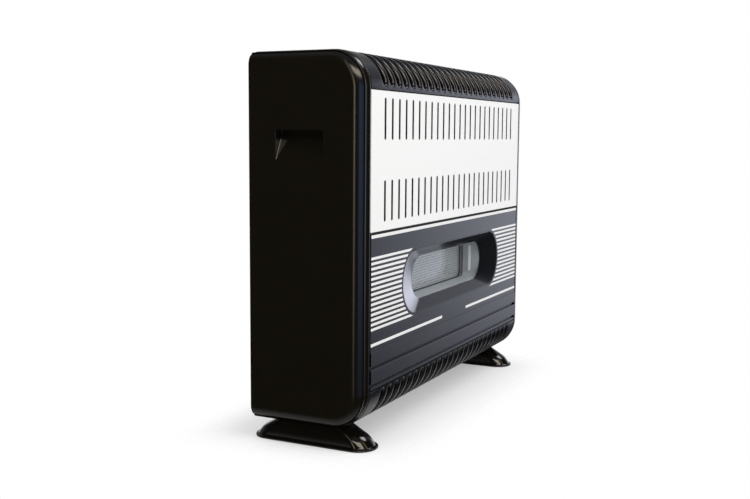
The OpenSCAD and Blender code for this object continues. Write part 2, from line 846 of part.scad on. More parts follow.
module bottom_rail() {
  y0 = groove_d + sheet_t;
  z0 = lower_panel_z + rail_set;
  at_home() color("#8d9296") {
    block([-rail_x, y0, z0], [rail_x, y0 + sheet_t, z0 + rail_h]);
    block([-rail_x, y0, z0 + rail_h - sheet_t], [rail_x, y0 + fold_d, z0 + rail_h]);
  }
}

module base_plate() {
  y0 = bottom_grille_d + seat_gap;
  at_home() color("#8d9296") difference() {
    union() {
      block([-rail_x, y0, 0], [rail_x, body_d, sheet_t]);
      for (side = [0, 1]) mirror([side, 0, 0])
        block([rail_x - sheet_t, y0, 0], [rail_x, back_y - frame_flange, 20]);
    }
    bar_z(union_x, inlet_y, -cut, inlet_r + hole_gap, 4 * cut);
    for (side = [0, 1], y = foot_screw_ys) mirror([side, 0, 0])
      bar_z(half_w - foot_inset, y, -cut, screw_r + run_fit, 4 * cut);
  }
}

module back_panel() {
  edge_x = rim_x - 1;
  z0 = sheet_t + seat_gap;
  z1 = body_h - grille_t / 2;
  at_home() color("#2b2c2e") difference() {
    union() {
      block([-edge_x, back_y, z0], [edge_x, body_d, z1]);
      block([-rail_x, top_grille_d + seat_gap, z1 - sheet_t], [rail_x, body_d, z1]);
    }
    bar_y(0, back_y - cut, flue_z, air_r + hole_gap, 4 * cut);
    for (side = [0, 1]) mirror([side, 0, 0]) {
      for (z = back_screw_zs)
        bar_y(inside_x - frame_flange / 2, back_y - cut, z, screw_r + seat_gap, 4 * cut);
      block([hook_x - hook_w / 2 - seat_gap, back_y - cut, bracket_z - hook_h - seat_gap],
        [hook_x + hook_w / 2 + seat_gap, body_d + cut, bracket_z + bracket_t + seat_gap]);
    }
  }
}

// ---- Feet and screws ----

// A level slice of the right foot, drawn smaller than the foot's base by an inset in X and in Y
module foot_slice(z, t, inset) {
  end_r = foot_w / 2 - 1 - inset[0];
  translate([half_w - foot_inset, foot_mid_y, z]) linear_extrude(t)
    soft_rect(foot_w - 2 * inset[0], foot_len - 2 * inset[1], end_r, $fn = 32);
}

// The foot's body with its rounded shoulders, drawn smaller all round by a shrink
module foot_body(shrink, low) {
  wall = [shrink, shrink];
  rim = [foot_rim_w, foot_rim_w];
  top = [(foot_w - foot_top_w) / 2, (foot_len - foot_top_len) / 2];
  shoulder = rim + foot_bulge * (top - rim);
  hull() {
    foot_slice(low - foot_h, foot_rim_t, rim + wall);
    foot_slice(-foot_shoulder, 1, shoulder + wall);
    foot_slice(-1 - shrink, 1, top + wall);
  }
}

module plain_foot() {
  color("#0d0d0e") difference() {
    union() {
      foot_body(0, 0);
      foot_slice(-foot_h, foot_rim_t, [0, 0]);
    }
    foot_body(foot_wall, -foot_wall);
    for (y = foot_screw_ys)
      bar_z(half_w - foot_inset, y, -foot_h, screw_r + run_fit, foot_h + cut);
  }
}

module left_foot() {
  at_home() mirror([1, 0, 0]) plain_foot();
}

module right_foot() {
  at_home() plain_foot();
}

// A pan head screw that points along +Z, with the underside of its head at the origin
module screw(len) {
  cylinder(r = screw_r, h = len);
  translate([0, 0, -screw_head_h]) cylinder(r = screw_head_r, h = screw_head_h);
}

module foot_screws() {
  at_home() color("#b9bcc0") for (side = [0, 1], y = foot_screw_ys) mirror([side, 0, 0])
    translate([half_w - foot_inset, y, -foot_wall]) screw(foot_wall + 8);
}

module side_cap_screws() {
  at_home() color("#b9bcc0") for (side = [0, 1], p = cap_screws) mirror([side, 0, 0])
    translate([inside_x, p[0], p[1]]) rotate([0, 90, 0]) screw(cap_screw_len - 1);
}

module back_panel_screws() {
  at_home() color("#b9bcc0") for (side = [0, 1], z = back_screw_zs) mirror([side, 0, 0])
    translate([inside_x - frame_flange / 2, body_d, z]) rotate([90, 0, 0]) screw(10);
}

module wall_bracket() {
  plate = bracket_t;
  arm_z = bracket_z;
  at_home() color("#8d9296") difference() {
    union() {
      block([-bracket_hole_gap / 2 - bracket_side, wall_y - plate, arm_z - bracket_low],
        [bracket_hole_gap / 2 + bracket_side, wall_y, arm_z + bracket_high]);
      for (side = [0, 1]) mirror([side, 0, 0]) {
        block([hook_x - hook_w / 2, back_y - seat_gap - plate, arm_z],
          [hook_x + hook_w / 2, wall_y, arm_z + plate]);
        block([hook_x - hook_w / 2, back_y - seat_gap - plate, arm_z],
          [hook_x + hook_w / 2, back_y - seat_gap, arm_z + hook_h]);
      }
    }
    for (side = [0, 1]) mirror([side, 0, 0])
      bar_y(bracket_hole_gap / 2, wall_y - 2 * plate, arm_z - bracket_high, bracket_hole_r, 4 * plate);
  }
}

// ---- Combustion chamber and flue ----

module combustion_chamber() {
  w = chamber_wall;
  at_home() color("#3a3b3d") difference() {
    block([-chamber_x, chamber_y, chamber_z], [chamber_x, chamber_back_y, chamber_top_z]);
    block([w - chamber_x, chamber_y + w, chamber_z + w],
      [chamber_x - w, chamber_back_y - w, chamber_top_z - w]);
    translate([0, 0, window_z]) along_y(chamber_y - cut, w + 2 * cut)
      soft_rect(window_w, window_h, tunnel_r);
    bar_y(0, chamber_back_y - 2 * w, flue_z, exhaust_r, 4 * w);
    block([-duct_mouth_w / 2, chamber_y + 3 * w, chamber_z - cut],
      [duct_mouth_w / 2, chamber_back_y - 3 * w, chamber_z + w + cut]);
    bar_x(chamber_x - 2 * w, burner_y, burner_z, mixer_r + hole_gap, 4 * w);
    block([chamber_x - 2 * w, pilot_y - 4, shelf_z - 26],
      [chamber_x + w, pilot_y + 4, shelf_z - 6]);
  }
}

// A plate with upright fins, welded to the chamber's front above the window
module cooling_fins() {
  z0 = window_z + window_h / 2 + glass_lap + 8;
  z1 = chamber_top_z - fin_margin / 2;
  half = chamber_x - fin_margin;
  at_home() color("#3a3b3d") {
    block([-half, chamber_y - sheet_t, z0], [half, chamber_y, z1]);
    for (i = [0:rib_n - 1]) {
      x = (i - (rib_n - 1) / 2) * 2 * (half - sheet_t) / (rib_n - 1);
      block([x - sheet_t / 2, chamber_y - rib_out, z0], [x + sheet_t / 2, chamber_y - sheet_t / 2, z1]);
    }
  }
}

// Two stands that carry the chamber on the base plate
module chamber_stands() {
  y0 = chamber_y + chamber_d / 2;
  y1 = chamber_back_y - 4;
  at_home() color("#8d9296") for (side = [0, 1]) mirror([side, 0, 0]) {
    block([stand_x, y0, sheet_t], [stand_x + sheet_t, y1, chamber_z]);
    block([stand_x - stand_foot_w, y0, sheet_t], [stand_x + sheet_t, y1, 2 * sheet_t]);
    block([stand_x - stand_foot_w, y0, chamber_z - sheet_t], [stand_x + sheet_t, y1, chamber_z]);
  }
}

module fresh_air_duct() {
  t = sheet_t;
  half = duct_w / 2;
  mouth = duct_mouth_w / 2;
  top = chamber_z - seat_gap;
  at_home() color("#8d9296") difference() {
    union() {
      block([-half, duct_front_y, duct_z], [half, duct_back_y, duct_top_z]);
      block([-half, duct_under_y, duct_z], [half, duct_back_y, top]);
    }
    block([t - half, duct_front_y + t, duct_z + t], [half - t, duct_back_y - t, duct_top_z - t]);
    block([t - half, duct_under_y + t, duct_z + t], [half - t, duct_back_y - t, top - t]);
    block([-mouth, chamber_y + 3 * chamber_wall, top - 2 * t],
      [mouth, chamber_back_y - 3 * chamber_wall, top + cut]);
    bar_y(0, duct_front_y - cut, flue_z, exhaust_r + hole_gap, 3 * cut);
    bar_y(0, duct_back_y - 2 * cut, flue_z, air_bore_r, 4 * cut);
  }
}

module exhaust_pipe() {
  at_home() color("#c2c5c8") difference() {
    union() {
      bar_y(0, chamber_back_y, flue_z, exhaust_r, flue_end_y - chamber_back_y);
      bar_y(0, chamber_back_y, flue_z, exhaust_r + 10, sheet_t);
    }
    bar_y(0, chamber_back_y - cut, flue_z, exhaust_r - flue_wall, flue_end_y);
  }
}

// The pipe is swaged: a thinner neck inside the casing, and the spigot for the wall flue behind it
module fresh_air_pipe() {
  out_y = body_d + air_step_y;
  at_home() color("#d6d8da") difference() {
    union() {
      bar_y(0, duct_back_y, flue_z, air_neck_r, out_y - duct_back_y + flue_wall);
      bar_y(0, out_y, flue_z, air_r, flue_end_y - out_y);
      bar_y(0, duct_back_y, flue_z, air_r + 12, sheet_t);
    }
    bar_y(0, duct_back_y - cut, flue_z, air_bore_r, flue_end_y);
    bar_y(0, out_y + flue_wall, flue_z, air_r - flue_wall, flue_end_y);
  }
}

module flue_gasket() {
  y0 = duct_back_y + sheet_t;
  at_home() color("#d9d6cc") difference() {
    bar_y(0, y0, flue_z, air_r + 12, back_y - y0);
    bar_y(0, y0 - cut, flue_z, air_neck_r + hole_gap, back_y);
  }
}

module heat_shields() {
  x0 = duct_w / 2 + shield_gap;
  x1 = chamber_x - shield_inset;
  y0 = chamber_back_y + shield_set;
  z0 = chamber_z + shield_gap;
  z1 = chamber_top_z - shield_set;
  at_home() color("#c2c5c8") for (side = [0, 1]) mirror([side, 0, 0]) {
    block([x0, y0, z0], [x1, y0 + sheet_t, z1]);
    for (x = [x0, x1 - sheet_t]) block([x, y0, z0], [x + sheet_t, back_y, z1]);
  }
}

module hot_air_deflector() {
  z0 = chamber_top_z + deflector_low;
  z1 = body_h - 2 * bar_d;
  fold = deflector_fold;
  at_home() color("#c2c5c8") along_x(-rail_x + frame_flange, 2 * (rail_x - frame_flange))
    polygon([[back_y, z0], [back_y, z0 + fold], [deflector_y, z1], [deflector_y - sheet_t, z1 - cut],
      [back_y - sheet_t, z0 + fold - cut], [back_y - sheet_t, z0]]);
}

// ---- Burner ----

module burner_tube() {
  mixer_end = chamber_x + 26;
  port_n = floor((burner_len - 50) / port_pitch);
  at_home() color("#9a9da1") difference() {
    union() {
      bar_x(-burner_len / 2, burner_y, burner_z, burner_r, burner_len);
      bar_x(burner_len / 2 - cut, burner_y, burner_z, mixer_r, mixer_end - burner_len / 2 + cut);
    }
    bar_x(burner_wall - burner_len / 2, burner_y, burner_z, burner_r - burner_wall,
      burner_len - 2 * burner_wall);
    bar_x(0, burner_y, burner_z, mixer_r - burner_wall, mixer_end + cut);
    for (i = [0:port_n])
      bar_z((i - port_n / 2) * port_pitch, burner_y, burner_z, port_r, burner_r + cut);
  }
}

module burner_brackets() {
  floor_z = chamber_z + chamber_wall;
  x0 = burner_len / 2 - burner_bracket_inset;
  half = burner_bracket_d;
  at_home() color("#8d9296") for (side = [0, 1]) mirror([side, 0, 0])
    difference() {
      block([x0, burner_y - half, floor_z], [x0 + burner_bracket_t, burner_y + half, burner_z]);
      bar_x(x0 - cut, burner_y, burner_z, burner_r + run_fit, burner_bracket_t + 2 * cut);
    }
}

module gas_injector() {
  x0 = chamber_x + 28;
  at_home() color("#b5894a") difference() {
    union() {
      bar_x(x0, burner_y, burner_z, injector_r, 14);
      bar_x(x0 - 6, burner_y, burner_z, injector_r / 2, 7);
    }
    bar_x(x0 - 7, burner_y, burner_z, 0.9, 9);
  }
}

module injector_bracket() {
  x0 = chamber_x + 32;
  at_home() color("#8d9296") difference() {
    union() {
      block([x0, burner_y - 20, burner_z - 16], [x0 + 2, burner_y + 20, burner_z + 16]);
      for (y = [burner_y - 20, burner_y + 18])
        block([chamber_x, y, burner_z - 10], [x0 + cut, y + 2, burner_z + 10]);
    }
    bar_x(x0 - cut, burner_y, burner_z, injector_r + run_fit, 4);
  }
}

module burner_feed_pipe() {
  x0 = chamber_x + 42;
  x1 = x0 + 14;
  at_home() color("#c9cbce")
    pipe([[x0, burner_y, burner_z], [x1, burner_y, burner_z], [x1, burner_y, valve_z]],
      feed_r, 2 * feed_r);
}

// ---- Gas valve and controls ----

module gas_valve_body() {
  bore_x = sleeve_back_x - knob_travel - 2;
  at_home() color("#a9acb0") difference() {
    union() {
      block([valve_x, valve_y, valve_z], [valve_face_x, valve_y + valve_d, valve_z + valve_h]);
      bar_z(valve_x + 22, valve_y + 30, valve_z + valve_h, 17, 8);
    }
    bar_x(bore_x, knob_y, knob_z, sleeve_r + run_fit, valve_w);
  }
}

module valve_bracket() {
  x0 = valve_face_x;
  y0 = valve_y + 4;
  y1 = valve_y + valve_d - 4;
  z0 = valve_z - 8;
  z1 = valve_z + valve_h + 8;
  at_home() color("#8d9296") difference() {
    union() {
      block([x0, y0, z0], [x0 + sheet_t, y1, z1]);
      for (z = [z0, z1 - sheet_t]) block([x0, y0, z], [inside_x, y1, z + sheet_t]);
      block([inside_x - sheet_t, y0, z0 - 12], [inside_x, y1, z0 + sheet_t]);
      block([inside_x - sheet_t, y0, z1 - sheet_t], [inside_x, y1, z1 + 12]);
    }
    bar_x(x0 - cut, knob_y, knob_z, sleeve_r + 2, 12);
  }
}

module push_sleeve() {
  len = sleeve_front_x - sleeve_back_x;
  at_home() color("#b5894a") difference() {
    bar_x(sleeve_back_x, knob_y, knob_z, sleeve_r, len);
    bar_x(sleeve_back_x - cut, knob_y, knob_z, spindle_r + run_fit, len + 2 * cut);
  }
}

module valve_spindle() {
  at_home() color("#c9cbce")
    bar_x(sleeve_back_x, knob_y, knob_z, spindle_r, knob_front_x - 3 - sleeve_back_x);
}

module control_knob() {
  grip_n = 24;
  at_home() color("#17171a") difference() {
    union() {
      bar_x(knob_back_x, knob_y, knob_z, knob_r, 4);
      bar_x(knob_back_x + 3, knob_y, knob_z, knob_r - 3, knob_h - 3);
    }
    bar_x(knob_back_x - cut, knob_y, knob_z, spindle_r + run_fit / 2, knob_h - 3 + cut);
    for (i = [0:grip_n - 1])
      translate([0, knob_y, knob_z]) rotate([i * 360 / grip_n, 0, 0])
        bar_x(knob_back_x + 4, 0, knob_r - 2.2, 1.2, knob_h);
  }
}

module piezo_igniter() {
  at_home() color("#e8e6df") difference() {
    union() {
      bar_x(piezo_back_x, button_y, knob_z, piezo_r, recess_x - piezo_back_x);
      bar_x(recess_x, button_y, knob_z, piezo_r + 5, piezo_flange_t);
    }
    bar_x(piezo_back_x + 18, button_y, knob_z, button_r + run_fit, recess_x);
  }
}

module piezo_nut() {
  x1 = recess_x - cap_wall;
  at_home() color("#b9bcc0") difference() {
    bar_x(x1 - 4, button_y, knob_z, piezo_r + 5, 4);
    bar_x(x1 - 5, button_y, knob_z, piezo_r + run_fit, 6);
  }
}

module igniter_button() {
  x0 = piezo_back_x + 18 + button_travel + 2;
  at_home() color("#a8201c") {
    bar_x(x0, button_y, knob_z, button_r, button_cap_x - x0 + cut);
    bar_x(button_cap_x, button_y, knob_z, button_r + 3, button_cap_h);
  }
}

module ignition_lead() {
  lead_x = chamber_x + 20;
  low_z = shelf_z - 11;
  at_home() color("#e9e7e2")
    pipe([[pilot_x + 16, pilot_y, shelf_z - 6], [pilot_x + 16, pilot_y, low_z],
      [lead_x, pilot_y, low_z], [lead_x, button_y, low_z], [lead_x, button_y, knob_z],
      [piezo_back_x, button_y, knob_z]], lead_r, 4);
}

// ---- Pilot ----

module pilot_bracket() {
  y0 = chamber_y + chamber_wall + 2;
  x0 = pilot_x - 22;
  x1 = pilot_x + 26;
  at_home() color("#8d9296") difference() {
    union() {
      block([x0, y0, chamber_z + chamber_wall], [x1, y0 + 2, shelf_z + 2]);
      block([x0, y0, shelf_z], [x1, pilot_y + 6, shelf_z + 2]);
    }
    bar_z(pilot_x, pilot_y, shelf_z - cut, pilot_r + hole_gap, 4);
    bar_z(pilot_x - 14, pilot_y, shelf_z - cut, 2.5 + run_fit, 4);
    bar_z(pilot_x + 16, pilot_y, shelf_z - cut, 3 + run_fit, 4);
  }
}

module pilot_burner() {
  at_home() color("#b5894a") difference() {
    union() {
      bar_z(pilot_x, pilot_y, shelf_z + 2, 5.5, 20);
      bar_z(pilot_x, pilot_y, shelf_z + 21, 4, 8);
    }
    bar_z(pilot_x, pilot_y, shelf_z + 14, 1.5, 20);
  }
}

module pilot_tube() {
  low_z = shelf_z - 16;
  riser_x = valve_x + 28;
  at_home() color("#b87333")
    pipe([[pilot_x, pilot_y, shelf_z + 2], [pilot_x, pilot_y, low_z], [riser_x, pilot_y, low_z],
      [riser_x, pilot_y, valve_z]], pilot_r, 6);
}

module thermocouple() {
  low_z = shelf_z - 22;
  riser_x = valve_x + 40;
  at_home() color("#b87333") {
    pipe([[pilot_x - 14, pilot_y, shelf_z - 9], [pilot_x - 14, pilot_y, low_z],
      [riser_x, pilot_y, low_z], [riser_x, pilot_y, valve_z]], couple_r, 5);
    bar_z(pilot_x - 14, pilot_y, shelf_z - 10, 2.5, 46);
  }
}

module spark_electrode() {
  at_home() color("#f0eee8") {
    bar_z(pilot_x + 16, pilot_y, shelf_z - 6, 3, 30);
    bar_z(pilot_x + 16, pilot_y, shelf_z + 23, 1, 11);
  }
}

// ---- Thermostat and gas inlet ----

module thermostat_bulb() {
  riser_x = bulb_end_x + bulb_riser;
  at_home() color("#b87333") {
    bar_x(bulb_end_x - bulb_len, bulb_y, bulb_z, bulb_r, bulb_len);
    pipe([[bulb_end_x - cut, bulb_y, bulb_z], [riser_x, bulb_y, bulb_z],
      [riser_x, bulb_y, valve_z - bulb_drop], [riser_x, valve_y + 6, valve_z - bulb_drop],
      [riser_x, valve_y + 6, valve_z]], capillary_r, 4);
  }
}

module bulb_clip() {
  x0 = bulb_end_x - bulb_len / 2;
  rail_y = groove_d + 2 * sheet_t;
  at_home() color("#b9bcc0") difference() {
    union() {
      block([x0, rail_y, bulb_z - sheet_t / 2], [x0 + 14, bulb_y - bulb_r, bulb_z + sheet_t / 2]);
      bar_x(x0, bulb_y, bulb_z, bulb_r + sheet_t, 14);
    }
    bar_x(x0 - cut, bulb_y, bulb_z, bulb_r + run_fit, 14 + 2 * cut);
  }
}

module gas_inlet_pipe() {
  y = inlet_y;
  z = valve_z + valve_h - 14;
  flange_t = 3;
  at_home() color("#b5894a") difference() {
    union() {
      pipe([[inlet_x, valve_y + valve_d, z], [inlet_x, y, z], [inlet_x, y, inlet_step_z],
        [union_x, y, inlet_step_z], [union_x, y, -flange_t]], inlet_r, 2 * inlet_r);
      bar_z(union_x, y, -flange_t, union_r + 3, flange_t);
      bar_z(union_x, y, -flange_t - union_len, union_r, union_len);
    }
    bar_z(union_x, y, -flange_t - union_len - cut, inlet_r - 2, union_len + 40);
  }
}

left_side_cap();
right_side_cap();
left_hand_grip();
right_hand_grip();
top_grille();
upper_front_panel();
lower_front_panel();
bottom_grille();
window_bezel();
window_tunnel();
glass_retainers();
window_glass();
glass_gasket();
window_gauze();
left_end_frame();
right_end_frame();
top_rail();
middle_rail();
bottom_rail();
base_plate();
back_panel();
left_foot();
right_foot();
foot_screws();
side_cap_screws();
back_panel_screws();
wall_bracket();
combustion_chamber();
cooling_fins();
chamber_stands();
fresh_air_duct();
exhaust_pipe();
fresh_air_pipe();
flue_gasket();
heat_shields();
hot_air_deflector();
burner_tube();
burner_brackets();
gas_injector();
injector_bracket();
gas_valve_body();
valve_bracket();
push_sleeve();
valve_spindle();
control_knob();
piezo_igniter();
piezo_nut();
igniter_button();
ignition_lead();
pilot_burner();
pilot_bracket();
pilot_tube();
thermocouple();
spark_electrode();
thermostat_bulb();
bulb_clip();
burner_feed_pipe();
gas_inlet_pipe();
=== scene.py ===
import json
import math
import bpy
from mathutils import Matrix, Vector
from mathutils.geometry import tessellate_polygon


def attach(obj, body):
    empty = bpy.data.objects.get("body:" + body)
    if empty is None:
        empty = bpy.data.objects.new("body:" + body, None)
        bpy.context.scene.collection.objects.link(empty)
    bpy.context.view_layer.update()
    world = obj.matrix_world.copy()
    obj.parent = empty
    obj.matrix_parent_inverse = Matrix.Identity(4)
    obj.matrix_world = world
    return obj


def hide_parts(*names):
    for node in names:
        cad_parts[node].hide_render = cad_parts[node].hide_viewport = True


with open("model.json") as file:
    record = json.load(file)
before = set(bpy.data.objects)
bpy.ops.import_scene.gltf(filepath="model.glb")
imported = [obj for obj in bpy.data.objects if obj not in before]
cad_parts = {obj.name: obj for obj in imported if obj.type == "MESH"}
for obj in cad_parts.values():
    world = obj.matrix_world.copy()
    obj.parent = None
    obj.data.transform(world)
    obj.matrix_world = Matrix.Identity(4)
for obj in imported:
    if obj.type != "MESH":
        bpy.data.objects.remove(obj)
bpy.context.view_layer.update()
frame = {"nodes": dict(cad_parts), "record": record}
print("frame loaded")

# Lengths are in millimetres and follow the casing: x from its middle, y from its front, z from its underside
mm = 0.001
casing = {"halfWidth": 387.5, "height": 602.5, "depth": 208.0, "cornerRadius": 62.0, "rearRadius": 8.0,
          "edgeRadius": 22.5, "capGap": 2.5, "depthShift": -125.9, "footHeight": 37.0}
casing["rimX"] = casing["halfWidth"] - casing["edgeRadius"]
casing["panelX"] = casing["rimX"] - casing["capGap"]
slots = {"count": 24, "pitch": 27.1}


# A point of the casing in the frame's metres
def place(x, y, z):
    return Vector((x, y + casing["depthShift"], z + casing["footHeight"])) * mm


def slotX(i):
    return (i - (slots["count"] - 1) / 2) * slots["pitch"]


def linear(hexColour):
    values = [int(hexColour[i:i + 2], 16) / 255 for i in (1, 3, 5)]
    return [v / 12.92 if v <= 0.04045 else ((v + 0.055) / 1.055) ** 2.4 for v in values] + [1.0]


def addNode(tree, kind, settings=None, links=None):
    node = tree.nodes.new(kind)
    for key, value in (settings or {}).items():
        if isinstance(key, str) and hasattr(node, key):
            setattr(node, key, value)
        else:
            node.inputs[key].default_value = value
    for key, source in (links or {}).items():
        tree.links.new(source, node.inputs[key])
    return node


def newTree(name):
    material = bpy.data.materials.new(name)
    material.use_nodes = True
    material.node_tree.nodes.clear()
    return material, material.node_tree


# grain and patch are pattern sizes in mm, bump is a height in mm, roughness is a low and a high value
def surface(name, colour, otherColour, roughness, grain=2.0, bump=0.02, stretch=(1, 1, 1), metallic=0.0,
            coat=0.0, coatRoughness=0.1, patch=60.0):
    material, tree = newTree(name)
    where = addNode(tree, "ShaderNodeTexCoord")
    fine = addNode(tree, "ShaderNodeMapping", {"Scale": [s / (grain * mm) for s in stretch]},
                   {"Vector": where.outputs["Object"]})
    grainNoise = addNode(tree, "ShaderNodeTexNoise", {"Scale": 1.0, "Detail": 3.0, "Roughness": 0.6},
                         {"Vector": fine.outputs[0]})
    patchNoise = addNode(tree, "ShaderNodeTexNoise", {"Scale": 1 / (patch * mm), "Detail": 2.0},
                         {"Vector": where.outputs["Object"]})
    half = addNode(tree, "ShaderNodeMath", {"operation": "MULTIPLY", 1: 0.5}, {0: patchNoise.outputs["Fac"]})
    both = addNode(tree, "ShaderNodeMath", {"operation": "MULTIPLY_ADD", 1: 0.5},
                   {0: grainNoise.outputs["Fac"], 2: half.outputs[0]})
    tint = addNode(tree, "ShaderNodeMix", {"data_type": "RGBA", 6: linear(colour), 7: linear(otherColour)},
                   {0: both.outputs[0]})
    rough = addNode(tree, "ShaderNodeMapRange", {"To Min": roughness[0], "To Max": roughness[1]},
                    {"Value": both.outputs[0]})
    relief = addNode(tree, "ShaderNodeBump", {"Strength": 1.0, "Distance": bump * mm},
                     {"Height": grainNoise.outputs["Fac"]})
    shader = addNode(tree, "ShaderNodeBsdfPrincipled",
                     {"Metallic": metallic, "Coat Weight": coat, "Coat Roughness": coatRoughness},
                     {"Base Color": tint.outputs[2], "Roughness": rough.outputs[0],
                      "Normal": relief.outputs[0]})
    addNode(tree, "ShaderNodeOutputMaterial", {}, {"Surface": shader.outputs[0]})
    return material


# Clear to look through, with a faint gloss that grows from the share headOn towards the edges and has
# smearScale smears to a metre
def clearGlass(name, tintColour, smearScale=18.0, roughness=(0.02, 0.06), headOn=0.04):
    material, tree = newTree(name)
    where = addNode(tree, "ShaderNodeTexCoord")
    smear = addNode(tree, "ShaderNodeTexNoise", {"Scale": smearScale, "Detail": 3.0},
                    {"Vector": where.outputs["Object"]})
    rough = addNode(tree, "ShaderNodeMapRange", {"To Min": roughness[0], "To Max": roughness[1]},
                    {"Value": smear.outputs["Fac"]})
    gloss = addNode(tree, "ShaderNodeBsdfGlossy", {"Color": linear("#ffffff")},
                    {"Roughness": rough.outputs[0]})
    through = addNode(tree, "ShaderNodeBsdfTransparent", {"Color": linear(tintColour)})
    slant = addNode(tree, "ShaderNodeLayerWeight", {"Blend": 0.5})
    steep = addNode(tree, "ShaderNodeMath", {"operation": "POWER", 1: 5.0}, {0: slant.outputs["Facing"]})
    share = addNode(tree, "ShaderNodeMath", {"operation": "MULTIPLY_ADD", 1: 1 - headOn, 2: headOn},
                    {0: steep.outputs[0]})
    both = addNode(tree, "ShaderNodeMixShader", {},
                   {0: share.outputs[0], 1: through.outputs[0], 2: gloss.outputs[0]})
    addNode(tree, "ShaderNodeOutputMaterial", {}, {"Surface": both.outputs[0]})
    return material


# One finish per material slot of the record
finishes = {
    # Powder coat: warm near black with a soft sheen
    "cap_black": surface("PowderCoatBlackSatin", "#100d07", "#14110b", (0.14, 0.19), grain=1.2, bump=0.004),
    # Stove enamel: black, so that the bars show only thin lights
    "grille_black": surface("StoveEnamelBlack", "#0c0c0e", "#121214", (0.09, 0.14), grain=1.5, bump=0.003),
    # Powder coat: even bright white with a faint gloss
    "panel_white": surface("PowderCoatWhite", "#f5f5f3", "#f9f9f7", (0.35, 0.45), grain=1.2, bump=0.005),
    # Enamel: dark graphite that mirrors the room softly
    "panel_dark": surface("EnamelGraphiteGloss", "#242529", "#292a2f", (0.12, 0.16), grain=1.5, bump=0.002),
    # Enamel on the pressed bezel: darker, so that its lit crescent stands out
    "bezel_dark": surface("EnamelGraphiteBezel", "#0c0d10", "#111215", (0.12, 0.17), grain=1.5, bump=0.002,
                          coat=1.0),
    # Paint: the light grey of the tunnel's walls
    "tunnel_grey": surface("LightGreyPaint", "#a4abae", "#adb3b6", (0.40, 0.50), grain=1.0, bump=0.01),
    # Strip steel coloured near white, a painted highlight: the pale line at the window's end
    "bright_steel": surface("StripSteelPaintedHighlight", "#eceef0", "#f4f5f6", (0.35, 0.45), grain=0.6,
                            bump=0.003, stretch=(0.05, 1, 1)),
    # Ceramic glass: lets the gauze show
    "clear_glass": clearGlass("CeramicGlassClear", "#f6f7f8"),
    # Glass rope: a coarse dull weave
    "rope_gasket": surface("GlassRopeWoven", "#d8d4c6", "#b9b4a4", (0.8, 0.95), grain=1.4, bump=0.25),
    # Gauze: pale and dull, so that its holes read as dark dots
    "gauze_steel": surface("GauzeStainlessDull", "#eceef0", "#f4f5f6", (0.50, 0.60), grain=0.8, bump=0.01),
    # Zinc plate: a mottled grey
    "zinc_steel": surface("ZincPlatedSheet", "#9ba0a4", "#aeb3b7", (0.30, 0.48), grain=4.0, bump=0.004,
                          metallic=1.0, patch=14.0),
    # Moulded nylon: a deep warm black with sharp lights
    "foot_black": surface("NylonBlackGloss", "#0c0a07", "#100d09", (0.07, 0.11), grain=1.5, bump=0.003),
    # Heat paint: dead matt black
    "chamber_black": surface("HeatPaintBlackMatt", "#1b1c1e", "#242527", (0.65, 0.8), grain=1.0, bump=0.02),
    # Drawn aluminium: soft lines along the pipes
    "flue_aluminium": surface("AluminiumDrawn", "#c6c8ca", "#d2d4d6", (0.28, 0.40), grain=0.8, bump=0.004,
                              stretch=(1, 0.05, 1), metallic=1.0),
    # Stainless steel: straw and blue heat tints
    "burner_steel": surface("StainlessHeatTint", "#8f8d8c", "#7f858f", (0.25, 0.42), grain=1.0, bump=0.004,
                            stretch=(0.1, 1, 1), metallic=1.0, patch=40.0),
    # Turned brass: warm yellow with fine tool lines
    "brass": surface("BrassTurned", "#b8924a", "#c7a35c", (0.22, 0.34), grain=0.5, bump=0.003, metallic=1.0),
    # Drawn copper tube: smooth warm red
    "copper": surface("CopperDrawn", "#b4694a", "#c27a58", (0.22, 0.36), grain=1.2, bump=0.002, metallic=1.0),
    # Textured ABS: black with a fine grain
    "knob_black": surface("AbsBlackTextured", "#161618", "#1c1c1e", (0.38, 0.5), grain=0.5, bump=0.03),
    # Glossy ABS: the one red spot
    "button_red": surface("AbsRedGloss", "#a31f1b", "#ab2824", (0.14, 0.2), grain=1.2, bump=0.002,
                          coat=0.2),
    # Smooth nylon: off white
    "piezo_white": surface("NylonWhite", "#e6e4dc", "#eeece5", (0.35, 0.45), grain=1.0, bump=0.005),
    # Glazed porcelain: creamy and wet looking
    "porcelain": surface("PorcelainGlazed", "#efece2", "#f5f3ec", (0.08, 0.14), grain=3.0, bump=0.003,
                         coat=0.5),
    # Silicone rubber: dull white
    "lead_white": surface("SiliconeWhite", "#e4e1da", "#eceae4", (0.5, 0.6), grain=0.8, bump=0.008),
}
# Screen print: crisp white stripes on the graphite
stripeInk = surface("ScreenPrintWhite", "#eeeeec", "#f5f5f3", (0.30, 0.40), grain=0.8, bump=0.003)
# Pad print: the off white mark that shows how far the knob is turned
knobMark = surface("KnobPrintWhite", "#e6e5e1", "#eeedea", (0.35, 0.45), grain=0.6, bump=0.003)

slotOf = {part["node"]: part["material_slot"] for part in frame["record"]["subparts"]}
for nodeName, node in frame["nodes"].items():
    node.data.materials.clear()
    node.data.materials.append(finishes[slotOf[nodeName]])
# These zinc sheets get the matt black finish as painted shade, so that the slots and the seam read dark where
# the sheets would shine through
for nodeName in ("top_rail", "middle_rail", "hot_air_deflector"):
    frame["nodes"][nodeName].data.materials[0] = finishes["chamber_black"]
print("materials ready")

# Points of a mesh that lie closer together than this become one
mergeWithin = 0.002 * mm


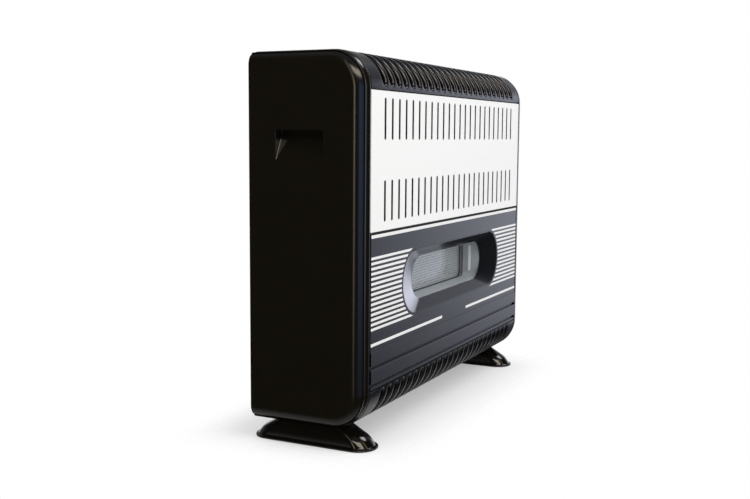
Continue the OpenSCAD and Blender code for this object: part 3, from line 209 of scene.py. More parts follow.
# Rings of points in mm and the faces between them, which make turns into a smooth-shaded piece of a body
class Shell:
    def __init__(self):
        self.points = []
        self.faces = []

    def ring(self, points):
        start = len(self.points)
        self.points += [place(*p) for p in points]
        return list(range(start, len(self.points)))

    def bridge(self, first, second, closed=True):
        count = len(first)
        for i in range(count if closed else count - 1):
            j = (i + 1) % count
            self.faces.append((first[i], first[j], second[j], second[i]))

    def loft(self, rings, closed=True):
        made = [self.ring(points) for points in rings]
        for first, second in zip(made, made[1:]):
            self.bridge(first, second, closed)
        return made

    def fill(self, *loops):
        flat = [i for loop in loops for i in loop]
        for corners in tessellate_polygon([[self.points[i] for i in loop] for loop in loops]):
            self.faces.append(tuple(flat[k] for k in corners))

    def make(self, name, material, body="casing", stands=(), sharp=35):
        mesh = bpy.data.meshes.new(name)
        mesh.from_pydata(self.points, [], self.faces)
        mesh.materials.append(material)
        piece = bpy.data.objects.new(name, mesh)
        bpy.context.scene.collection.objects.link(piece)
        bpy.context.view_layer.objects.active = piece
        bpy.ops.object.select_all(action="DESELECT")
        piece.select_set(True)
        bpy.ops.object.mode_set(mode="EDIT")
        bpy.ops.mesh.select_all(action="SELECT")
        bpy.ops.mesh.remove_doubles(threshold=mergeWithin)
        bpy.ops.mesh.normals_make_consistent(inside=False)
        bpy.ops.object.mode_set(mode="OBJECT")
        mesh.shade_smooth()
        mesh.set_sharp_from_angle(angle=math.radians(sharp))
        weighted = piece.modifiers.new("EvenShading", "WEIGHTED_NORMAL")
        weighted.keep_sharp = True
        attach(piece, body)
        if stands:
            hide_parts(*stands)
        return piece


def arc(cx, cy, radius, start, end, steps):
    angles = [math.radians(start + (end - start) * k / steps) for k in range(steps + 1)]
    return [(cx + radius * math.cos(angle), cy + radius * math.sin(angle)) for angle in angles]


def softRect(cx, cy, w, h, r, steps=6):
    return (arc(cx + w / 2 - r, cy - h / 2 + r, r, -90, 0, steps)
            + arc(cx + w / 2 - r, cy + h / 2 - r, r, 0, 90, steps)
            + arc(cx - w / 2 + r, cy + h / 2 - r, r, 90, 180, steps)
            + arc(cx - w / 2 + r, cy - h / 2 + r, r, 180, 270, steps))


# A long shape with round ends, lying or standing
def stadium(cx, cy, w, h, steps=10):
    if w >= h:
        return (arc(cx + (w - h) / 2, cy, h / 2, -90, 90, 2 * steps)
                + arc(cx - (w - h) / 2, cy, h / 2, 90, 270, 2 * steps))
    return (arc(cx, cy + (h - w) / 2, w / 2, 0, 180, 2 * steps)
            + arc(cx, cy - (h - w) / 2, w / 2, 180, 360, 2 * steps))


# An open line of (u, v) points with its inner corners rounded, at most over this share of a short side
def roundCorners(points, radius, steps=4, most=0.45):
    made = [points[0]]
    for before, here, after in zip(points, points[1:], points[2:]):
        corner = Vector(here)
        a = Vector(before) - corner
        b = Vector(after) - corner
        reach = min(radius, a.length * most, b.length * most)
        p = corner + a.normalized() * reach
        q = corner + b.normalized() * reach
        for k in range(steps + 1):
            t = k / steps
            made.append(tuple((1 - t) ** 2 * p + 2 * t * (1 - t) * corner + t ** 2 * q))
    return made + [points[-1]]


def frontRing(outline, y):
    return [(x, y, z) for x, z in outline]


# A sheet with its front at y = 0 and rounded edges; outline and holes are functions that grow by an amount
def plate(shell, outline, holes, thick, holeWall, edge=0.4, bend=0.3):
    def levels(deep):
        return [(0.0, edge), (edge * bend, edge * bend), (edge, 0.0), (deep, 0.0)]

    outer = shell.loft([frontRing(outline(-grow), deep) for deep, grow in levels(thick)])
    inner = [shell.loft([frontRing(hole(grow), deep) for deep, grow in levels(holeWall)])
             for hole in holes]
    shell.fill(outer[0], *[made[0] for made in inner])


# Depths and widenings of a rounded mouth of this size
def mouth(size):
    return [(deep * size, grow * size) for deep, grow in ((0.0, 1.0), (0.1, 0.6), (0.4, 0.2), (1.0, 0.0))]


# Side caps: rounded all round, with a hand grip each and the controls' recess on the right
cap = {"wall": 2.4, "filletStart": 2.0, "filletSteps": 18, "cornerSteps": 14, "rearSteps": 4,
       "rimLip": 14.0, "rimEdge": 0.5,
       "gripY": 114.5, "gripZ": 452.5, "gripWidth": 86.0, "gripHeight": 48.0, "gripRadius": 3.0,
       "gripDepth": 19.0, "gripHook": 9.0, "gripThroat": 6.0, "gripMouth": 0.9, "gripEdge": 1.0,
       "gripStep": 0.01,
       "recessY": 115.0, "recessZ": 190.0, "recessWidth": 140.0, "recessHeight": 78.0, "recessRadius": 12.0,
       "recessSteps": 10, "recessDepth": 20.0, "recessMouth": 1.0,
       "recessFloor": [(1.5, 0.0), (0.5, -0.4), (0.0, -1.5)]}


# The side's outline from the bottom rear corner forwards, over the front and to the top rear corner
def capOutline(inset):
    r, rear, h, d = casing["cornerRadius"], casing["rearRadius"], casing["height"], casing["depth"]
    line = arc(d - rear, rear, rear, 0, -90, cap["rearSteps"])
    line += arc(r, r, r - inset, 270, 180, cap["cornerSteps"])
    line += arc(r, h - r, r - inset, 180, 90, cap["cornerSteps"])
    line += arc(d - rear, h - rear, rear, 90, 0, cap["rearSteps"])
    return [(y, min(max(z, inset), h - inset)) for y, z in line]


def sideCap(name, side, nodes):
    shell = Shell()
    rim, r, wall, lip = casing["rimX"], casing["edgeRadius"], cap["wall"], cap["rimEdge"]
    levels = [(rim + cap["rimLip"], wall), (rim + lip, wall), (rim, wall - lip), (rim, lip)]
    start = cap["filletStart"]
    for k in range(cap["filletSteps"] + 1):
        angle = math.radians(start + (90 - start) * k / cap["filletSteps"])
        levels.append((rim + r * math.sin(angle), r * (1 - math.cos(angle))))
    made = shell.loft([[(side * x, y, z) for y, z in capOutline(inset)] for x, inset in levels])

    def section(depth, outline):
        return [(side * (casing["halfWidth"] - depth), y, z) for y, z in outline]

    low = cap["gripZ"] - cap["gripHeight"] / 2
    high = cap["gripZ"] + cap["gripHeight"] / 2
    slope = (cap["gripHeight"] - cap["gripThroat"]) / cap["gripDepth"]

    # The grip's floor slopes up inwards, and its roof steps up behind the cap's wall, for the fingers
    def gripSection(depth, top, grow=0.0):
        bottom = low + slope * depth
        return section(depth, softRect(cap["gripY"], (bottom + top) / 2, cap["gripWidth"] + 2 * grow,
                                       top - bottom + 2 * grow, cap["gripRadius"] + grow))

    deep, hook = cap["gripDepth"], high + cap["gripHook"]
    rings = [gripSection(depth, high, grow) for depth, grow in mouth(cap["gripMouth"])]
    rings += [gripSection(wall, high), gripSection(wall + cap["gripStep"], hook),
              gripSection(deep - cap["gripEdge"], hook), gripSection(deep, hook, -cap["gripEdge"])]
    grip = shell.loft(rings)
    shell.fill(grip[-1])
    holes = [grip[0]]
    if side > 0:
        def recessSection(depth, grow):
            return section(depth, softRect(cap["recessY"], cap["recessZ"], cap["recessWidth"] + 2 * grow,
                                           cap["recessHeight"] + 2 * grow, cap["recessRadius"] + grow,
                                           cap["recessSteps"]))

        floor = [(cap["recessDepth"] - rise, grow) for rise, grow in cap["recessFloor"]]
        recess = shell.loft([recessSection(*level) for level in mouth(cap["recessMouth"]) + floor])
        shell.fill(recess[-1])
        holes.append(recess[0])
    shell.fill(made[-1], *holes)
    return shell.make(name, finishes["cap_black"], stands=nodes, sharp=40)


sideCap("left_cap_shell", -1, ["left_side_cap", "left_hand_grip"])
sideCap("right_cap_shell", 1, ["right_side_cap", "right_hand_grip"])
print("side caps made")

# Grilles: bent round the front corners, with round-backed bars between the slots
grille = {"slotWidth": 13.8, "barDepth": 9.0, "barRound": 4.5, "skin": 3.0, "lip": 0.25,
          "roundAt": (0.25, 0.8, 1.7, 2.9, 4.5), "endSteps": 8, "sideSteps": 26, "edgeSteps": 40,
          "topStart": 1.0, "topBar": 8.0, "topFlatSlot": 136.9, "topEnd": 163.0,
          "bottomStart": 0.0, "bottomBar": 5.0, "bottomFlatSlot": 86.9, "bottomEnd": 98.0,
          "edge": [(1.0, 0.0), (0.3, 0.3), (0.0, 1.0)]}


# The skin is laid out flat along s, from its front edge backwards, and bent round the corner
def bentGrille(name, node, top, start, bar, slotEnd, end):
    shell = Shell()
    r, h = casing["cornerRadius"], casing["height"]
    firstAngle = math.asin(start / r)
    arcLength = (math.pi / 2 - firstAngle) * r

    def bent(x, s, depth):
        if s < arcLength:
            angle = firstAngle + s / r
            y = r - (r - depth) * math.cos(angle)
            v = (r - depth) * math.sin(angle)
        else:
            y = r + s - arcLength
            v = r - depth
        return (x, y, h - r + v if top else r - v)

    # Each slot's outline is paired with the edge of its own cell of the skin
    half, w = slots["pitch"] / 2, grille["slotWidth"] / 2
    low = bar + w
    high = arcLength + slotEnd - r - w
    last = arcLength + end - r
    count = grille["sideSteps"]
    sides = [low + (high - low) * k / count for k in range(1, count)]
    middle = high + (last - high) * 0.5
    lowOuter = [(-half, low), (-half, low * 0.5), (-half, 0), (-w, 0), (0, 0), (w, 0), (half, 0),
                (half, low * 0.5), (half, low)]
    highOuter = [(half, high), (half, middle), (half, last), (w, last), (0, last), (-w, last), (-half, last),
                 (-half, middle), (-half, high)]
    pairs = list(zip(arc(0, low, w, 180, 360, grille["endSteps"]), lowOuter))
    pairs += [((w, s), (half, s)) for s in sides]
    pairs += list(zip(arc(0, high, w, 0, 180, grille["endSteps"]), highOuter))
    pairs += [((-w, s), (-half, s)) for s in reversed(sides)]
    roundR = grille["barRound"]
    steps = [(0.0, grille["barDepth"]), (0.0, roundR)]
    for out in grille["roundAt"]:
        steps.append((out, roundR - math.sqrt(max(roundR ** 2 - (roundR - out) ** 2, 0))))
    for i in range(slots["count"]):
        rings = []
        for out, depth in steps:
            ring = []
            for inner, outer in pairs:
                way = (Vector(outer) - Vector(inner)).normalized() * out
                ring.append(bent(slotX(i) + inner[0] + way[0], inner[1] + way[1], depth))
            rings.append(ring)
        rings.append([bent(slotX(i) + outer[0], outer[1], 0.0) for inner, outer in pairs])
        shell.loft(rings)

    # The plain strips beside the slots, and the turned-in front and rear edges
    edgeX, cells = casing["panelX"], slots["count"] * half
    even = [last * k / grille["edgeSteps"] for k in range(grille["edgeSteps"] + 1)]
    lengths = sorted(set([0.0, low, last] + even + [outer[1] for inner, outer in pairs]))
    across = [(cells, 0.0)] + [(edgeX - inset, depth) for inset, depth in grille["edge"]]
    across.append((edgeX, grille["skin"]))
    for side in (-1, 1):
        shell.loft([[bent(side * x, s, depth) for x, depth in across] for s in lengths], closed=False)
    reach = edgeX - grille["edge"][0][0]
    for s, lip in ((0.0, -grille["lip"]), (last, grille["lip"])):
        shell.loft([[bent(x, s + shift, depth) for x in (-reach, reach)]
                    for shift, depth in ((0.0, 0.0), (lip, grille["lip"]), (lip, grille["skin"]))],
                   closed=False)
    return shell.make(name, finishes["grille_black"], stands=[node], sharp=50)


bentGrille("top_grille_skin", "top_grille", True, grille["topStart"], grille["topBar"], grille["topFlatSlot"],
           grille["topEnd"])
bentGrille("bottom_grille_skin", "bottom_grille", False, grille["bottomStart"], grille["bottomBar"],
           grille["bottomFlatSlot"], grille["bottomEnd"])
print("grilles made")

# Upper front panel with its two rows of slots
upper = {"halfWidth": casing["panelX"], "low": 317.6, "high": 539.5, "slotWidth": 6.9, "slotLength": 66.6,
         "rows": (364.8, 495.4), "slotSteps": 5, "sheet": 1.2, "slotWall": 0.3, "fold": 14.0,
         "corner": 1.5}


# The folded edges at both ends of a front panel
def foldedEnds(shell, panel, low, high):
    sheet, fold = panel["sheet"], panel["fold"]
    for side in (-1, 1):
        x = side * panel["halfWidth"]
        shell.loft([[(x, sheet, z), (x, fold, z), (x - side * sheet, fold, z)] for z in (low, high)],
                   closed=False)


def panelOutline(panel, grow):
    return softRect(0, (panel["low"] + panel["high"]) / 2, 2 * (panel["halfWidth"] + grow),
                    panel["high"] - panel["low"] + 2 * grow, panel["corner"])


def upperSlot(x, z, grow):
    return stadium(x, z, upper["slotWidth"] + 2 * grow, upper["slotLength"] + 2 * grow, upper["slotSteps"])


shell = Shell()
holes = [lambda grow, x=slotX(i), z=row: upperSlot(x, z, grow)
         for row in upper["rows"] for i in range(slots["count"])]
plate(shell, lambda grow: panelOutline(upper, grow), holes, upper["sheet"], upper["slotWall"])
foldedEnds(shell, upper, upper["low"] + upper["corner"], upper["high"] - upper["corner"])
shell.make("upper_panel_sheet", finishes["panel_white"], stands=["upper_front_panel"])

# Lower front panel with its two raised bands, whose line of (y, z) points starts at the bottom
lower = {"halfWidth": 360.5, "low": 127.4, "high": 313.6, "windowZ": 219.8, "openWidth": 478.0,
         "openHeight": 112.0, "openSteps": 20, "sheet": 1.2, "edge": 0.3, "fold": 14.0, "foldShort": 0.5,
         "corner": 0.3, "bandEdge": 0.7,
         "bands": [(0, 64), (0, 69), (4, 69), (4, 73.5), (-1.2, 74.5), (-1.2, 96), (0, 98), (4, 98),
                   (4, 102.5), (-1.2, 103.5), (-1.2, 125), (0, 126.2), (0, 127.4)]}


def windowOpening(grow):
    return stadium(0, lower["windowZ"], lower["openWidth"] + 2 * grow, lower["openHeight"] + 2 * grow,
                   lower["openSteps"])


shell = Shell()
plate(shell, lambda grow: panelOutline(lower, grow), [windowOpening], lower["sheet"], lower["sheet"],
      edge=lower["edge"])
line = roundCorners(lower["bands"], lower["bandEdge"])
shell.loft([[(x, y, z) for y, z in line] for x in (-lower["halfWidth"], lower["halfWidth"])], closed=False)
foldedEnds(shell, lower, lower["low"], lower["high"] - lower["foldShort"])
shell.make("lower_panel_sheet", finishes["panel_dark"], stands=["lower_front_panel"])

# Printed stripes, which end in a round line beside the window and leave a bare gap in the long one
stripes = {"proud": 0.05, "topBar": (307.9, 313.2), "firstZ": 276.1, "pitch": 8.12, "count": 15, "thick": 4.2,
           "tipCentre": 183.0, "tipRadius": 60.5, "tipSteps": 4, "longZ": 137.2, "longThick": 5.0,
           "gap": (-62.4, 58.7), "margin": 0.6}

shell = Shell()


# A printed patch between a left and a right line of (x, z) points
def printed(left, right):
    front = [shell.ring([(x, -stripes["proud"], z) for x, z in line]) for line in (left, right)]
    shell.bridge(front[0], front[1], closed=False)


def tipX(z):
    rise = z - lower["windowZ"]
    return stripes["tipCentre"] + math.sqrt(max(stripes["tipRadius"] ** 2 - rise ** 2, 0))


end, parts = lower["halfWidth"] - stripes["margin"], stripes["tipSteps"]
for k in range(stripes["count"]):
    bottom = stripes["firstZ"] - k * stripes["pitch"] - stripes["thick"] / 2
    heights = [bottom + stripes["thick"] * i / parts for i in range(parts + 1)]
    for side in (-1, 1):
        printed([(side * tipX(z), z) for z in heights], [(side * end, z) for z in heights])
longLow, longHigh = (stripes["longZ"] + way * stripes["longThick"] / 2 for way in (-1, 1))
for low, high, spans in ((*stripes["topBar"], [(-end, end)]),
                         (longLow, longHigh, [(-end, stripes["gap"][0]), (stripes["gap"][1], end)])):
    for a, b in spans:
        printed([(a, low), (a, high)], [(b, low), (b, high)])
shell.make("panel_stripes", stripeInk)
print("front panels made")

# Window: a sloping bezel, the tunnel behind it, two strips coloured pale as a painted highlight, and the
# gauze
window = {"z": lower["windowZ"], "steps": 24, "outerWidth": 477.4, "outerHeight": 111.4, "width": 344.0,
          "height": 76.0, "depth": 13.6, "rim": [(0.9, 0.0), (0.25, 0.0), (0.0, -0.25), (0.0, -0.9)],
          "slopeSteps": 10, "slopeShare": 0.985, "backLip": [(0.1, 0.0), (2.0, 0.0), (2.0, 3.0)],
          "tunnelFront": 15.8, "tunnelRadius": 12.0, "tunnelSteps": 8,
          "tunnelEdge": [(0.0, 1.2), (0.0, 0.3), (0.3, 0.0)],
          "glassY": 51.0, "glassRim": 10.0, "gauzeY": 60.0, "gauzePitch": 5.8, "gauzeHole": 1.9,
          "gauzeSheet": 0.6, "retainerY": 34.0, "retainerDepth": 5.0, "retainerOut": 1.4,
          "retainerHalf": 26.0, "retainerEdge": 0.5}


# A ring of the bezel, so much wider and taller than its inner or outer outline
def windowRing(y, growX, growZ, width="width", height="height"):
    return frontRing(stadium(0, window["z"], window[width] + 2 * growX, window[height] + 2 * growZ,
                             window["steps"]), y)


shell = Shell()
rings = [windowRing(y, grow, grow, "outerWidth", "outerHeight") for y, grow in window["rim"]]
rimInset = -window["rim"][-1][1]
wide = (window["outerWidth"] - window["width"]) / 2 - rimInset
tall = (window["outerHeight"] - window["height"]) / 2 - rimInset
for k in range(1, window["slopeSteps"] + 1):
    t = k / window["slopeSteps"] * window["slopeShare"]
    rings.append(windowRing(window["depth"] * t, wide * (1 - t), tall * (1 - t)))
rings += [windowRing(window["depth"] + deep, grow, grow) for deep, grow in window["backLip"]]
shell.loft(rings)
shell.make("bezel_shell", finishes["bezel_dark"], stands=["window_bezel"])

shell = Shell()


def tunnelRing(y, grow):
    return frontRing(softRect(0, window["z"], window["width"] + 2 * grow, window["height"] + 2 * grow,
                              window["tunnelRadius"] + grow, window["tunnelSteps"]), y)


shell.loft([tunnelRing(window["tunnelFront"] + deep, grow) for deep, grow in window["tunnelEdge"]]
           + [tunnelRing(window["glassY"], 0.0), tunnelRing(window["glassY"], window["glassRim"])])
shell.make("tunnel_shell", finishes["tunnel_grey"], stands=["window_tunnel"])

shell = Shell()
for side in (-1, 1):
    x = side * window["width"] / 2
    inner = x - side * window["retainerOut"]
    near = window["retainerY"]
    far = near + window["retainerDepth"]
    line = roundCorners([(x, near), (inner, near), (inner, far), (x, far)], window["retainerEdge"])
    ends = [shell.ring([(px, py, window["z"] + way * window["retainerHalf"]) for px, py in line])
            for way in (-1, 1)]
    shell.bridge(ends[0], ends[1], closed=False)
    for loop in ends:
        shell.fill(loop)
# The strips' near white colour is a painted highlight
shell.make("retainer_strips", finishes["bright_steel"], stands=["glass_retainers"])

# The gauze is a sheet of six-sided cells, each with a round hole. A real one is about five times finer, which
# wouldn't show from the camera.
shell = Shell()
pitch, hole, gauzeY = window["gauzePitch"], window["gauzeHole"], window["gauzeY"]
rowStep, reach = pitch * math.sqrt(3) / 2, pitch / math.sqrt(3)
rows = int(window["height"] / rowStep / 2) + 1
columns = int(window["width"] / pitch / 2) + 1
corners = [(reach * math.sin(math.radians(60 * k)), reach * math.cos(math.radians(60 * k))) for k in range(6)]
hexagon = []
for k in range(6):
    a, b = corners[k], corners[(k + 1) % 6]
    hexagon += [a, ((a[0] + b[0]) / 2, (a[1] + b[1]) / 2)]
circle = [(hole * math.sin(math.radians(30 * k)), hole * math.cos(math.radians(30 * k))) for k in range(12)]
layers = [(gauzeY, hexagon), (gauzeY, circle), (gauzeY + window["gauzeSheet"], circle)]
for row in range(-rows, rows + 1):
    for column in range(-columns, columns + 1):
        x = (column + (0.5 if row % 2 else 0.0)) * pitch
        z = window["z"] + row * rowStep
        shell.loft([[(x + u, y, z + v) for u, v in outline] for y, outline in layers])
shell.make("gauze_sheet", finishes["gauze_steel"], stands=["window_gauze"], sharp=60)
print("window made")

# Feet: a rim on the floor, straight slopes and rounded shoulders. The slope holds heights below the casing
# with the share of the way from base to top; rims and fillet hold how much narrower and how much higher.
foot = {"x": 339.5, "y": 110.7, "width": 65.0, "length": 223.0, "radius": 31.5, "cornerSteps": 10,
        "rimHeight": 3.6, "baseWidth": 55.0, "baseLength": 213.0, "topWidth": 44.0,
        "topLength": 127.0, "wall": 3.0, "rimLow": [(1.4, 0.0), (0.4, 0.3), (0.0, 0.9)],
        "rimHigh": [(0.0, -1.2), (0.6, -0.4), (2.0, 0.0)], "fillet": [(-2.6, 0.1), (-0.8, 0.5)],
        "slope": [(-32.3, 0.0), (-29.9, 0.035), (-27.6, 0.073), (-25.3, 0.116), (-23.1, 0.155), (-21.0, 0.20),
                  (-18.6, 0.275), (-16.2, 0.36), (-12.5, 0.51), (-8.7, 0.663), (-4.3, 0.835), (0.0, 1.0)]}


def plainFoot(name, side, node):
    shell = Shell()
    base, wall = -casing["footHeight"], foot["wall"]
    top = base + foot["rimHeight"]

    def ring(width, length, z):
        r = foot["radius"] - (foot["width"] - width) / 2
        return [(side * foot["x"] + u, foot["y"] + v, z)
                for u, v in softRect(0, 0, width, length, r, foot["cornerSteps"])]

    def bodyRing(share, z, shrink=0.0):
        return ring(foot["baseWidth"] + (foot["topWidth"] - foot["baseWidth"]) * share - 2 * shrink,
                    foot["baseLength"] + (foot["topLength"] - foot["baseLength"]) * share - 2 * shrink, z)

    def stepRings(width, length, z, steps):
        return [ring(width - less, length - less, z + rise) for less, rise in steps]

    hollow = [bodyRing(share, z, wall) for z, share in foot["slope"] if z < -2 * wall]
    rings = hollow[::-1] + [bodyRing(0.0, base, wall)]
    rings += stepRings(foot["width"], foot["length"], base, foot["rimLow"])
    rings += stepRings(foot["width"], foot["length"], top, foot["rimHigh"])
    rings += stepRings(foot["baseWidth"], foot["baseLength"], top, foot["fillet"])
    rings += [bodyRing(share, z) for z, share in foot["slope"]]
    made = shell.loft(rings)
    shell.fill(made[0])
    return shell.make(name, finishes["foot_black"], stands=[node], sharp=60)


plainFoot("left_foot_shell", -1, "left_foot")
plainFoot("right_foot_shell", 1, "right_foot")
print("feet made")

# Knob and igniter button on the right side; foot, top and cap hold depths with how far in they lie
control = {"y": 92.0, "z": cap["recessZ"], "backX": 373.0, "radius": 22.0, "height": 14.0, "grips": 24,
           "gripDeep": 1.0, "gripsFrom": 6, "knobSteps": 96, "buttonSteps": 64,
           "knobFoot": [(0.0, 0.6), (0.3, 0.1), (0.8, 0.0), (3.2, 0.0), (3.8, 0.4), (4.0, 1.2), (4.2, 2.6),
                        (4.8, 3.0)],
           "knobTop": [(1.6, 3.3), (0.6, 3.9), (0.1, 5.0), (0.0, 6.2)],
           "markOut": 11.0, "markWidth": 1.6, "markLength": 8.0, "markRadius": 0.7, "markProud": 0.04,
           "buttonY": 146.0, "buttonX": 376.5, "buttonRadius": 8.0, "stemRadius": 5.0, "stemLength": 34.0,
           "buttonCap": [(0.0, 0.4), (0.4, 0.0), (3.6, 0.0), (4.5, 0.5), (4.9, 1.4), (5.0, 2.6)]}


# A turned solid along x, with finger grooves cut into the rings of its profile from groovesFrom on
def turned(shell, cy, cz, profile, points, grooves=0, deep=0.0, groovesFrom=0):
    rings = []
    for i, (x, r) in enumerate(profile):
        ring = []
        for k in range(points):
            a = 2 * math.pi * k / points
            cutIn = deep * max(0.0, math.cos(a * grooves)) ** 2 if i >= groovesFrom else 0.0
            ring.append((x, cy + (r - cutIn) * math.sin(a), cz + (r - cutIn) * math.cos(a)))
        rings.append(ring)
    made = shell.loft(rings)
    shell.fill(made[-1])
    shell.fill(made[0])


shell = Shell()
back, r = control["backX"], control["radius"]
front = back + control["height"]
profile = [(back + deep, r - inset) for deep, inset in control["knobFoot"]]
profile += [(front - deep, r - inset) for deep, inset in control["knobTop"]]
turned(shell, control["y"], control["z"], profile, control["knobSteps"], control["grips"],
       control["gripDeep"], control["gripsFrom"])
shell.make("knob_shell", finishes["knob_black"], "control_knob", ["control_knob"])

shell = Shell()
mark = softRect(0, control["markOut"], control["markWidth"], control["markLength"], control["markRadius"])
shell.fill(shell.ring([(front + control["markProud"], control["y"] + u, control["z"] + v) for u, v in mark]))
shell.make("knob_mark", knobMark, "control_knob")

shell = Shell()
back, r, stem = control["buttonX"], control["buttonRadius"], control["stemRadius"]
profile = [(back - control["stemLength"], stem), (back, stem)]
profile += [(back + deep, r - inset) for deep, inset in control["buttonCap"]]
turned(shell, control["buttonY"], control["z"], profile, control["buttonSteps"])
shell.make("button_shell", finishes["button_red"], "igniter_button", ["igniter_button"])
print("controls made")

# The floor is a thin white sheet that keeps a faint shadow and whose edges fade into the white room. The
# stage's lengths are in metres and its angles in degrees. The sheet covers the square of floorCover, and
# floorGrain is the number of its grains to a metre.
stage = {"floorHalf": (0.48, 0.235), "floorFade": 0.12, "floorCover": 0.8, "floorZ": -0.0004,
         "floorColour": "#fafafa", "floorGrain": 330.0,
         "lens": 48.28, "sensor": 36.0, "clipStart": 0.01, "cameraPlace": (-1.76502, -0.81744, 0.50571),
         "yaw": 64.001, "pitch": 6.456, "roll": 0.392,
         "ambient": 0.80, "mirrorGain": 2.0, "lampGain": 3.0, "warmGain": 3.0, "lampAim": (0, 0, 0.3),
         "topPlace": (-0.6, -1.6, 2.6), "topSize": 2.2, "topWatts": 36.0,
         "leftPlace": (-2.6, 0.4, 1.9), "leftSize": 1.2, "leftWatts": 8.0}

material, tree = newTree("StudioFloorWhite")
where = addNode(tree, "ShaderNodeTexCoord")
grainNoise = addNode(tree, "ShaderNodeTexNoise", {"Scale": stage["floorGrain"], "Detail": 2.0},
                     {"Vector": where.outputs["Object"]})
tint = addNode(tree, "ShaderNodeMix",
               {"data_type": "RGBA", 6: linear(stage["floorColour"]), 7: linear("#ffffff")},
               {0: grainNoise.outputs["Fac"]})
paper = addNode(tree, "ShaderNodeBsdfDiffuse", {}, {"Color": tint.outputs[2]})
axes = addNode(tree, "ShaderNodeSeparateXYZ", {}, {0: where.outputs["Object"]})
fades = []
for i, half in enumerate(stage["floorHalf"]):
    away = addNode(tree, "ShaderNodeMath", {"operation": "ABSOLUTE"}, {0: axes.outputs[i]})
    fade = addNode(tree, "ShaderNodeMapRange",
                   {"interpolation_type": "SMOOTHSTEP", "From Min": half - stage["floorFade"],
                    "From Max": half, "To Min": stage["floorCover"], "To Max": 0.0},
                   {"Value": away.outputs[0]})
    fades.append(fade)
shown = addNode(tree, "ShaderNodeMath", {"operation": "MULTIPLY"},
                {0: fades[0].outputs[0], 1: fades[1].outputs[0]})
clear = addNode(tree, "ShaderNodeBsdfTransparent")
sheet = addNode(tree, "ShaderNodeMixShader", {},
                {0: shown.outputs[0], 1: clear.outputs[0], 2: paper.outputs[0]})
addNode(tree, "ShaderNodeOutputMaterial", {}, {"Surface": sheet.outputs[0]})
halfX, halfY = stage["floorHalf"]
mesh = bpy.data.meshes.new("studio_floor")
mesh.from_pydata([(x, y, stage["floorZ"]) for x, y in
                  ((-halfX, -halfY), (halfX, -halfY), (halfX, halfY), (-halfX, halfY))], [], [(0, 1, 2, 3)])
mesh.materials.append(material)
floor = bpy.data.objects.new("studio_floor", mesh)
bpy.context.scene.collection.objects.link(floor)


# A soft lamp; the room below gives the reflections, so the lamps stay out of them
def softbox(name, spot, width, power):
    light = bpy.data.lights.new(name, "AREA")
    light.shape = "SQUARE"
    light.size = width
    light.energy = power
    lamp = bpy.data.objects.new(name, light)
    lamp.location = spot
    lamp.rotation_mode = "QUATERNION"
    lamp.rotation_quaternion = (Vector(stage["lampAim"]) - Vector(spot)).to_track_quat("-Z", "Y")
    lamp.visible_glossy = False
    bpy.context.scene.collection.objects.link(lamp)


softbox("SoftboxTop", stage["topPlace"], stage["topSize"], stage["topWatts"])
softbox("SoftboxLeft", stage["leftPlace"], stage["leftSize"], stage["leftWatts"])

world = bpy.data.worlds.new("StudioWorld")
bpy.context.scene.world = world
world.use_nodes = True
tree = world.node_tree
tree.nodes.clear()


# A ramp whose stops are given in degrees between low and high
def ramp(value, low, high, stops):
    node = addNode(tree, "ShaderNodeValToRGB", {}, {0: value})
    elements = node.color_ramp.elements
    while len(elements) > 1:
        elements.remove(elements[-1])
    for i, (degrees, colour) in enumerate(stops):
        share = (degrees - low) / (high - low)
        stop = elements[0] if i == 0 else elements.new(share)
        stop.position = share
        stop.color = linear(colour)
    return node.outputs[0]


where = addNode(tree, "ShaderNodeTexCoord")
axes = addNode(tree, "ShaderNodeSeparateXYZ", {}, {0: where.outputs["Generated"]})
minusY = addNode(tree, "ShaderNodeMath", {"operation": "MULTIPLY", 1: -1.0}, {0: axes.outputs[1]})
turnAngle = addNode(tree, "ShaderNodeMath", {"operation": "ARCTAN2"},
                    {0: axes.outputs[0], 1: minusY.outputs[0]})
azimuth = addNode(tree, "ShaderNodeMapRange", {"From Min": -math.pi, "From Max": math.pi},
                  {"Value": turnAngle.outputs[0]}).outputs[0]
liftAngle = addNode(tree, "ShaderNodeMath", {"operation": "ARCSINE"}, {0: axes.outputs[2]})
height = addNode(tree, "ShaderNodeMapRange", {"From Min": -math.pi / 2, "From Max": math.pi / 2},
                 {"Value": liftAngle.outputs[0]}).outputs[0]

# What gloss sees of the room, at half its strength: degrees round from the heater's front towards its right
# side, then degrees of height. It is as white as the background in the directions behind the heater as the
# camera sees it, and dark where black screens stand.
roomRound = [(-180, "#505052"), (-150, "#1f1f20"), (-116, "#0d0d0c"), (-96, "#101010"), (-92, "#fff6e0"),
             (-87, "#fff6e0"), (-82, "#0b0b0b"), (-58, "#0b0b0c"), (-50, "#7090c0"), (-20, "#5c7cae"),
             (-12, "#0c0c0e"), (46, "#060607"), (56, "#3f4044"), (62, "#727580"), (70, "#b0b3c0"),
             (80, "#c2c4d2"), (87, "#dcdef0"), (96, "#bcbcbc"), (136, "#bcbcbc"), (156, "#626264"),
             (180, "#505052")]
roomHeight = [(-90, "#101010"), (-24, "#202020"), (-16, "#595959"), (-12, "#b3b3b3"), (-7, "#f3f3f3"),
              (-3, "#ffffff"), (9, "#ffffff"), (16, "#898989"), (38, "#7c7c7c"), (50, "#404040"),
              (90, "#202020")]
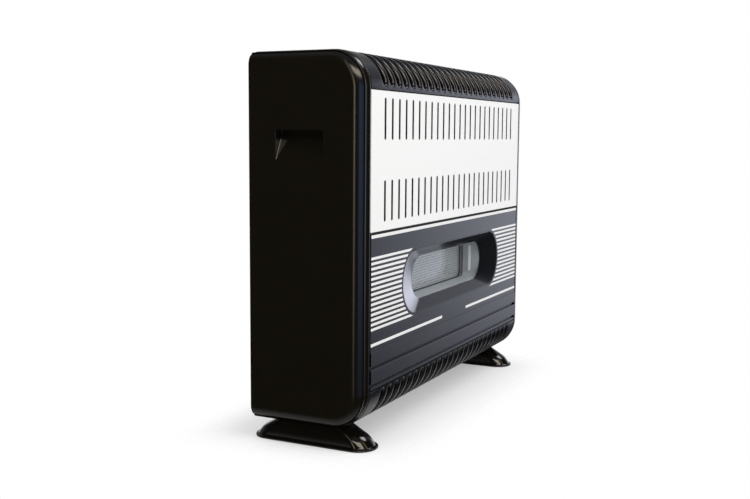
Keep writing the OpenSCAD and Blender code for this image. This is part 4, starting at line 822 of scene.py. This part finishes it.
# Tall narrow lights that the bars and edges draw out into thin lines, and the ceiling's blue grey
tallRound = [(-180, "#000000"), (-93, "#000000"), (-91, "#e0d8c4"), (-88, "#e0d8c4"), (-86, "#000000"),
             (-2, "#000000"), (2, "#fff4dc"), (8, "#fff4dc"), (12, "#000000"), (180, "#000000")]
tallHeight = [(-90, "#000000"), (-20, "#000000"), (-4, "#606060"), (1, "#ffffff"), (50, "#ffffff"),
              (62, "#000000"), (90, "#000000")]
ceiling = [(-90, "#000000"), (46, "#000000"), (60, "#404550"), (90, "#404550")]
# A small strong lamp that leaves a bright dot at the end of each slot
lampRound = [(-180, "#000000"), (38, "#000000"), (44, "#ffffff"), (72, "#ffffff"), (78, "#000000"),
             (180, "#000000")]
lampHeight = [(-90, "#000000"), (40, "#000000"), (45, "#ffffff"), (56, "#ffffff"), (60, "#000000"),
              (90, "#000000")]
# A warm one that lights the hand grip's rear edge and the front end of the foot
warmRound = [(-180, "#000000"), (-80, "#000000"), (-72, "#fff0d8"), (-24, "#fff0d8"), (-18, "#000000"),
             (180, "#000000")]
warmHeight = [(-90, "#000000"), (25, "#000000"), (30, "#ffffff"), (43, "#ffffff"), (47, "#000000"),
              (90, "#000000")]


# One light of the room, its ramp round the horizon times its ramp in height, added to those before it
def addLight(before, roundStops, heightStops, gain=1.0):
    shape = addNode(tree, "ShaderNodeVectorMath", {"operation": "MULTIPLY"},
                    {0: ramp(azimuth, -180, 180, roundStops), 1: ramp(height, -90, 90, heightStops)})
    return addNode(tree, "ShaderNodeVectorMath", {"operation": "MULTIPLY_ADD", 1: [gain] * 3},
                   {0: shape.outputs[0], 2: before}).outputs[0]


room = addLight(ramp(height, -90, 90, ceiling), roomRound, roomHeight)
room = addLight(room, tallRound, tallHeight)
room = addLight(room, lampRound, lampHeight, stage["lampGain"])
room = addLight(room, warmRound, warmHeight, stage["warmGain"])
path = addNode(tree, "ShaderNodeLightPath")
ambient = addNode(tree, "ShaderNodeBackground", {"Color": linear("#ffffff"), "Strength": stage["ambient"]})
mirrored = addNode(tree, "ShaderNodeBackground", {"Strength": stage["mirrorGain"]}, {"Color": room})
seen = addNode(tree, "ShaderNodeBackground", {"Color": linear("#ffffff"), "Strength": 1.0})
direct = addNode(tree, "ShaderNodeMath", {"operation": "MAXIMUM"},
                 {0: path.outputs["Is Camera Ray"], 1: path.outputs["Is Transmission Ray"]})
inside = addNode(tree, "ShaderNodeMixShader", {},
                 {0: path.outputs["Is Glossy Ray"], 1: ambient.outputs[0], 2: mirrored.outputs[0]})
final = addNode(tree, "ShaderNodeMixShader", {},
                {0: direct.outputs[0], 1: inside.outputs[0], 2: seen.outputs[0]})
addNode(tree, "ShaderNodeOutputWorld", {}, {"Surface": final.outputs[0]})

# Camera at the photograph's viewing angle
cameraData = bpy.data.cameras.new("PhotoCamera")
cameraData.lens = stage["lens"]
cameraData.sensor_width = stage["sensor"]
cameraData.clip_start = stage["clipStart"]
camera = bpy.data.objects.new("PhotoCamera", cameraData)
bpy.context.scene.collection.objects.link(camera)
yaw, pitch, roll = (math.radians(stage[k]) for k in ("yaw", "pitch", "roll"))
ahead = Vector((math.sin(yaw) * math.cos(pitch), math.cos(yaw) * math.cos(pitch), -math.sin(pitch)))
level = Vector((math.cos(yaw), -math.sin(yaw), 0))
upright = level.cross(ahead)
right = level * math.cos(roll) + upright * math.sin(roll)
up = upright * math.cos(roll) - level * math.sin(roll)
turn = Matrix((right, up, -ahead)).transposed().to_4x4()
camera.matrix_world = Matrix.Translation(stage["cameraPlace"]) @ turn
bpy.context.scene.camera = camera
bpy.context.scene.view_settings.view_transform = "Standard"

print("scene ready")
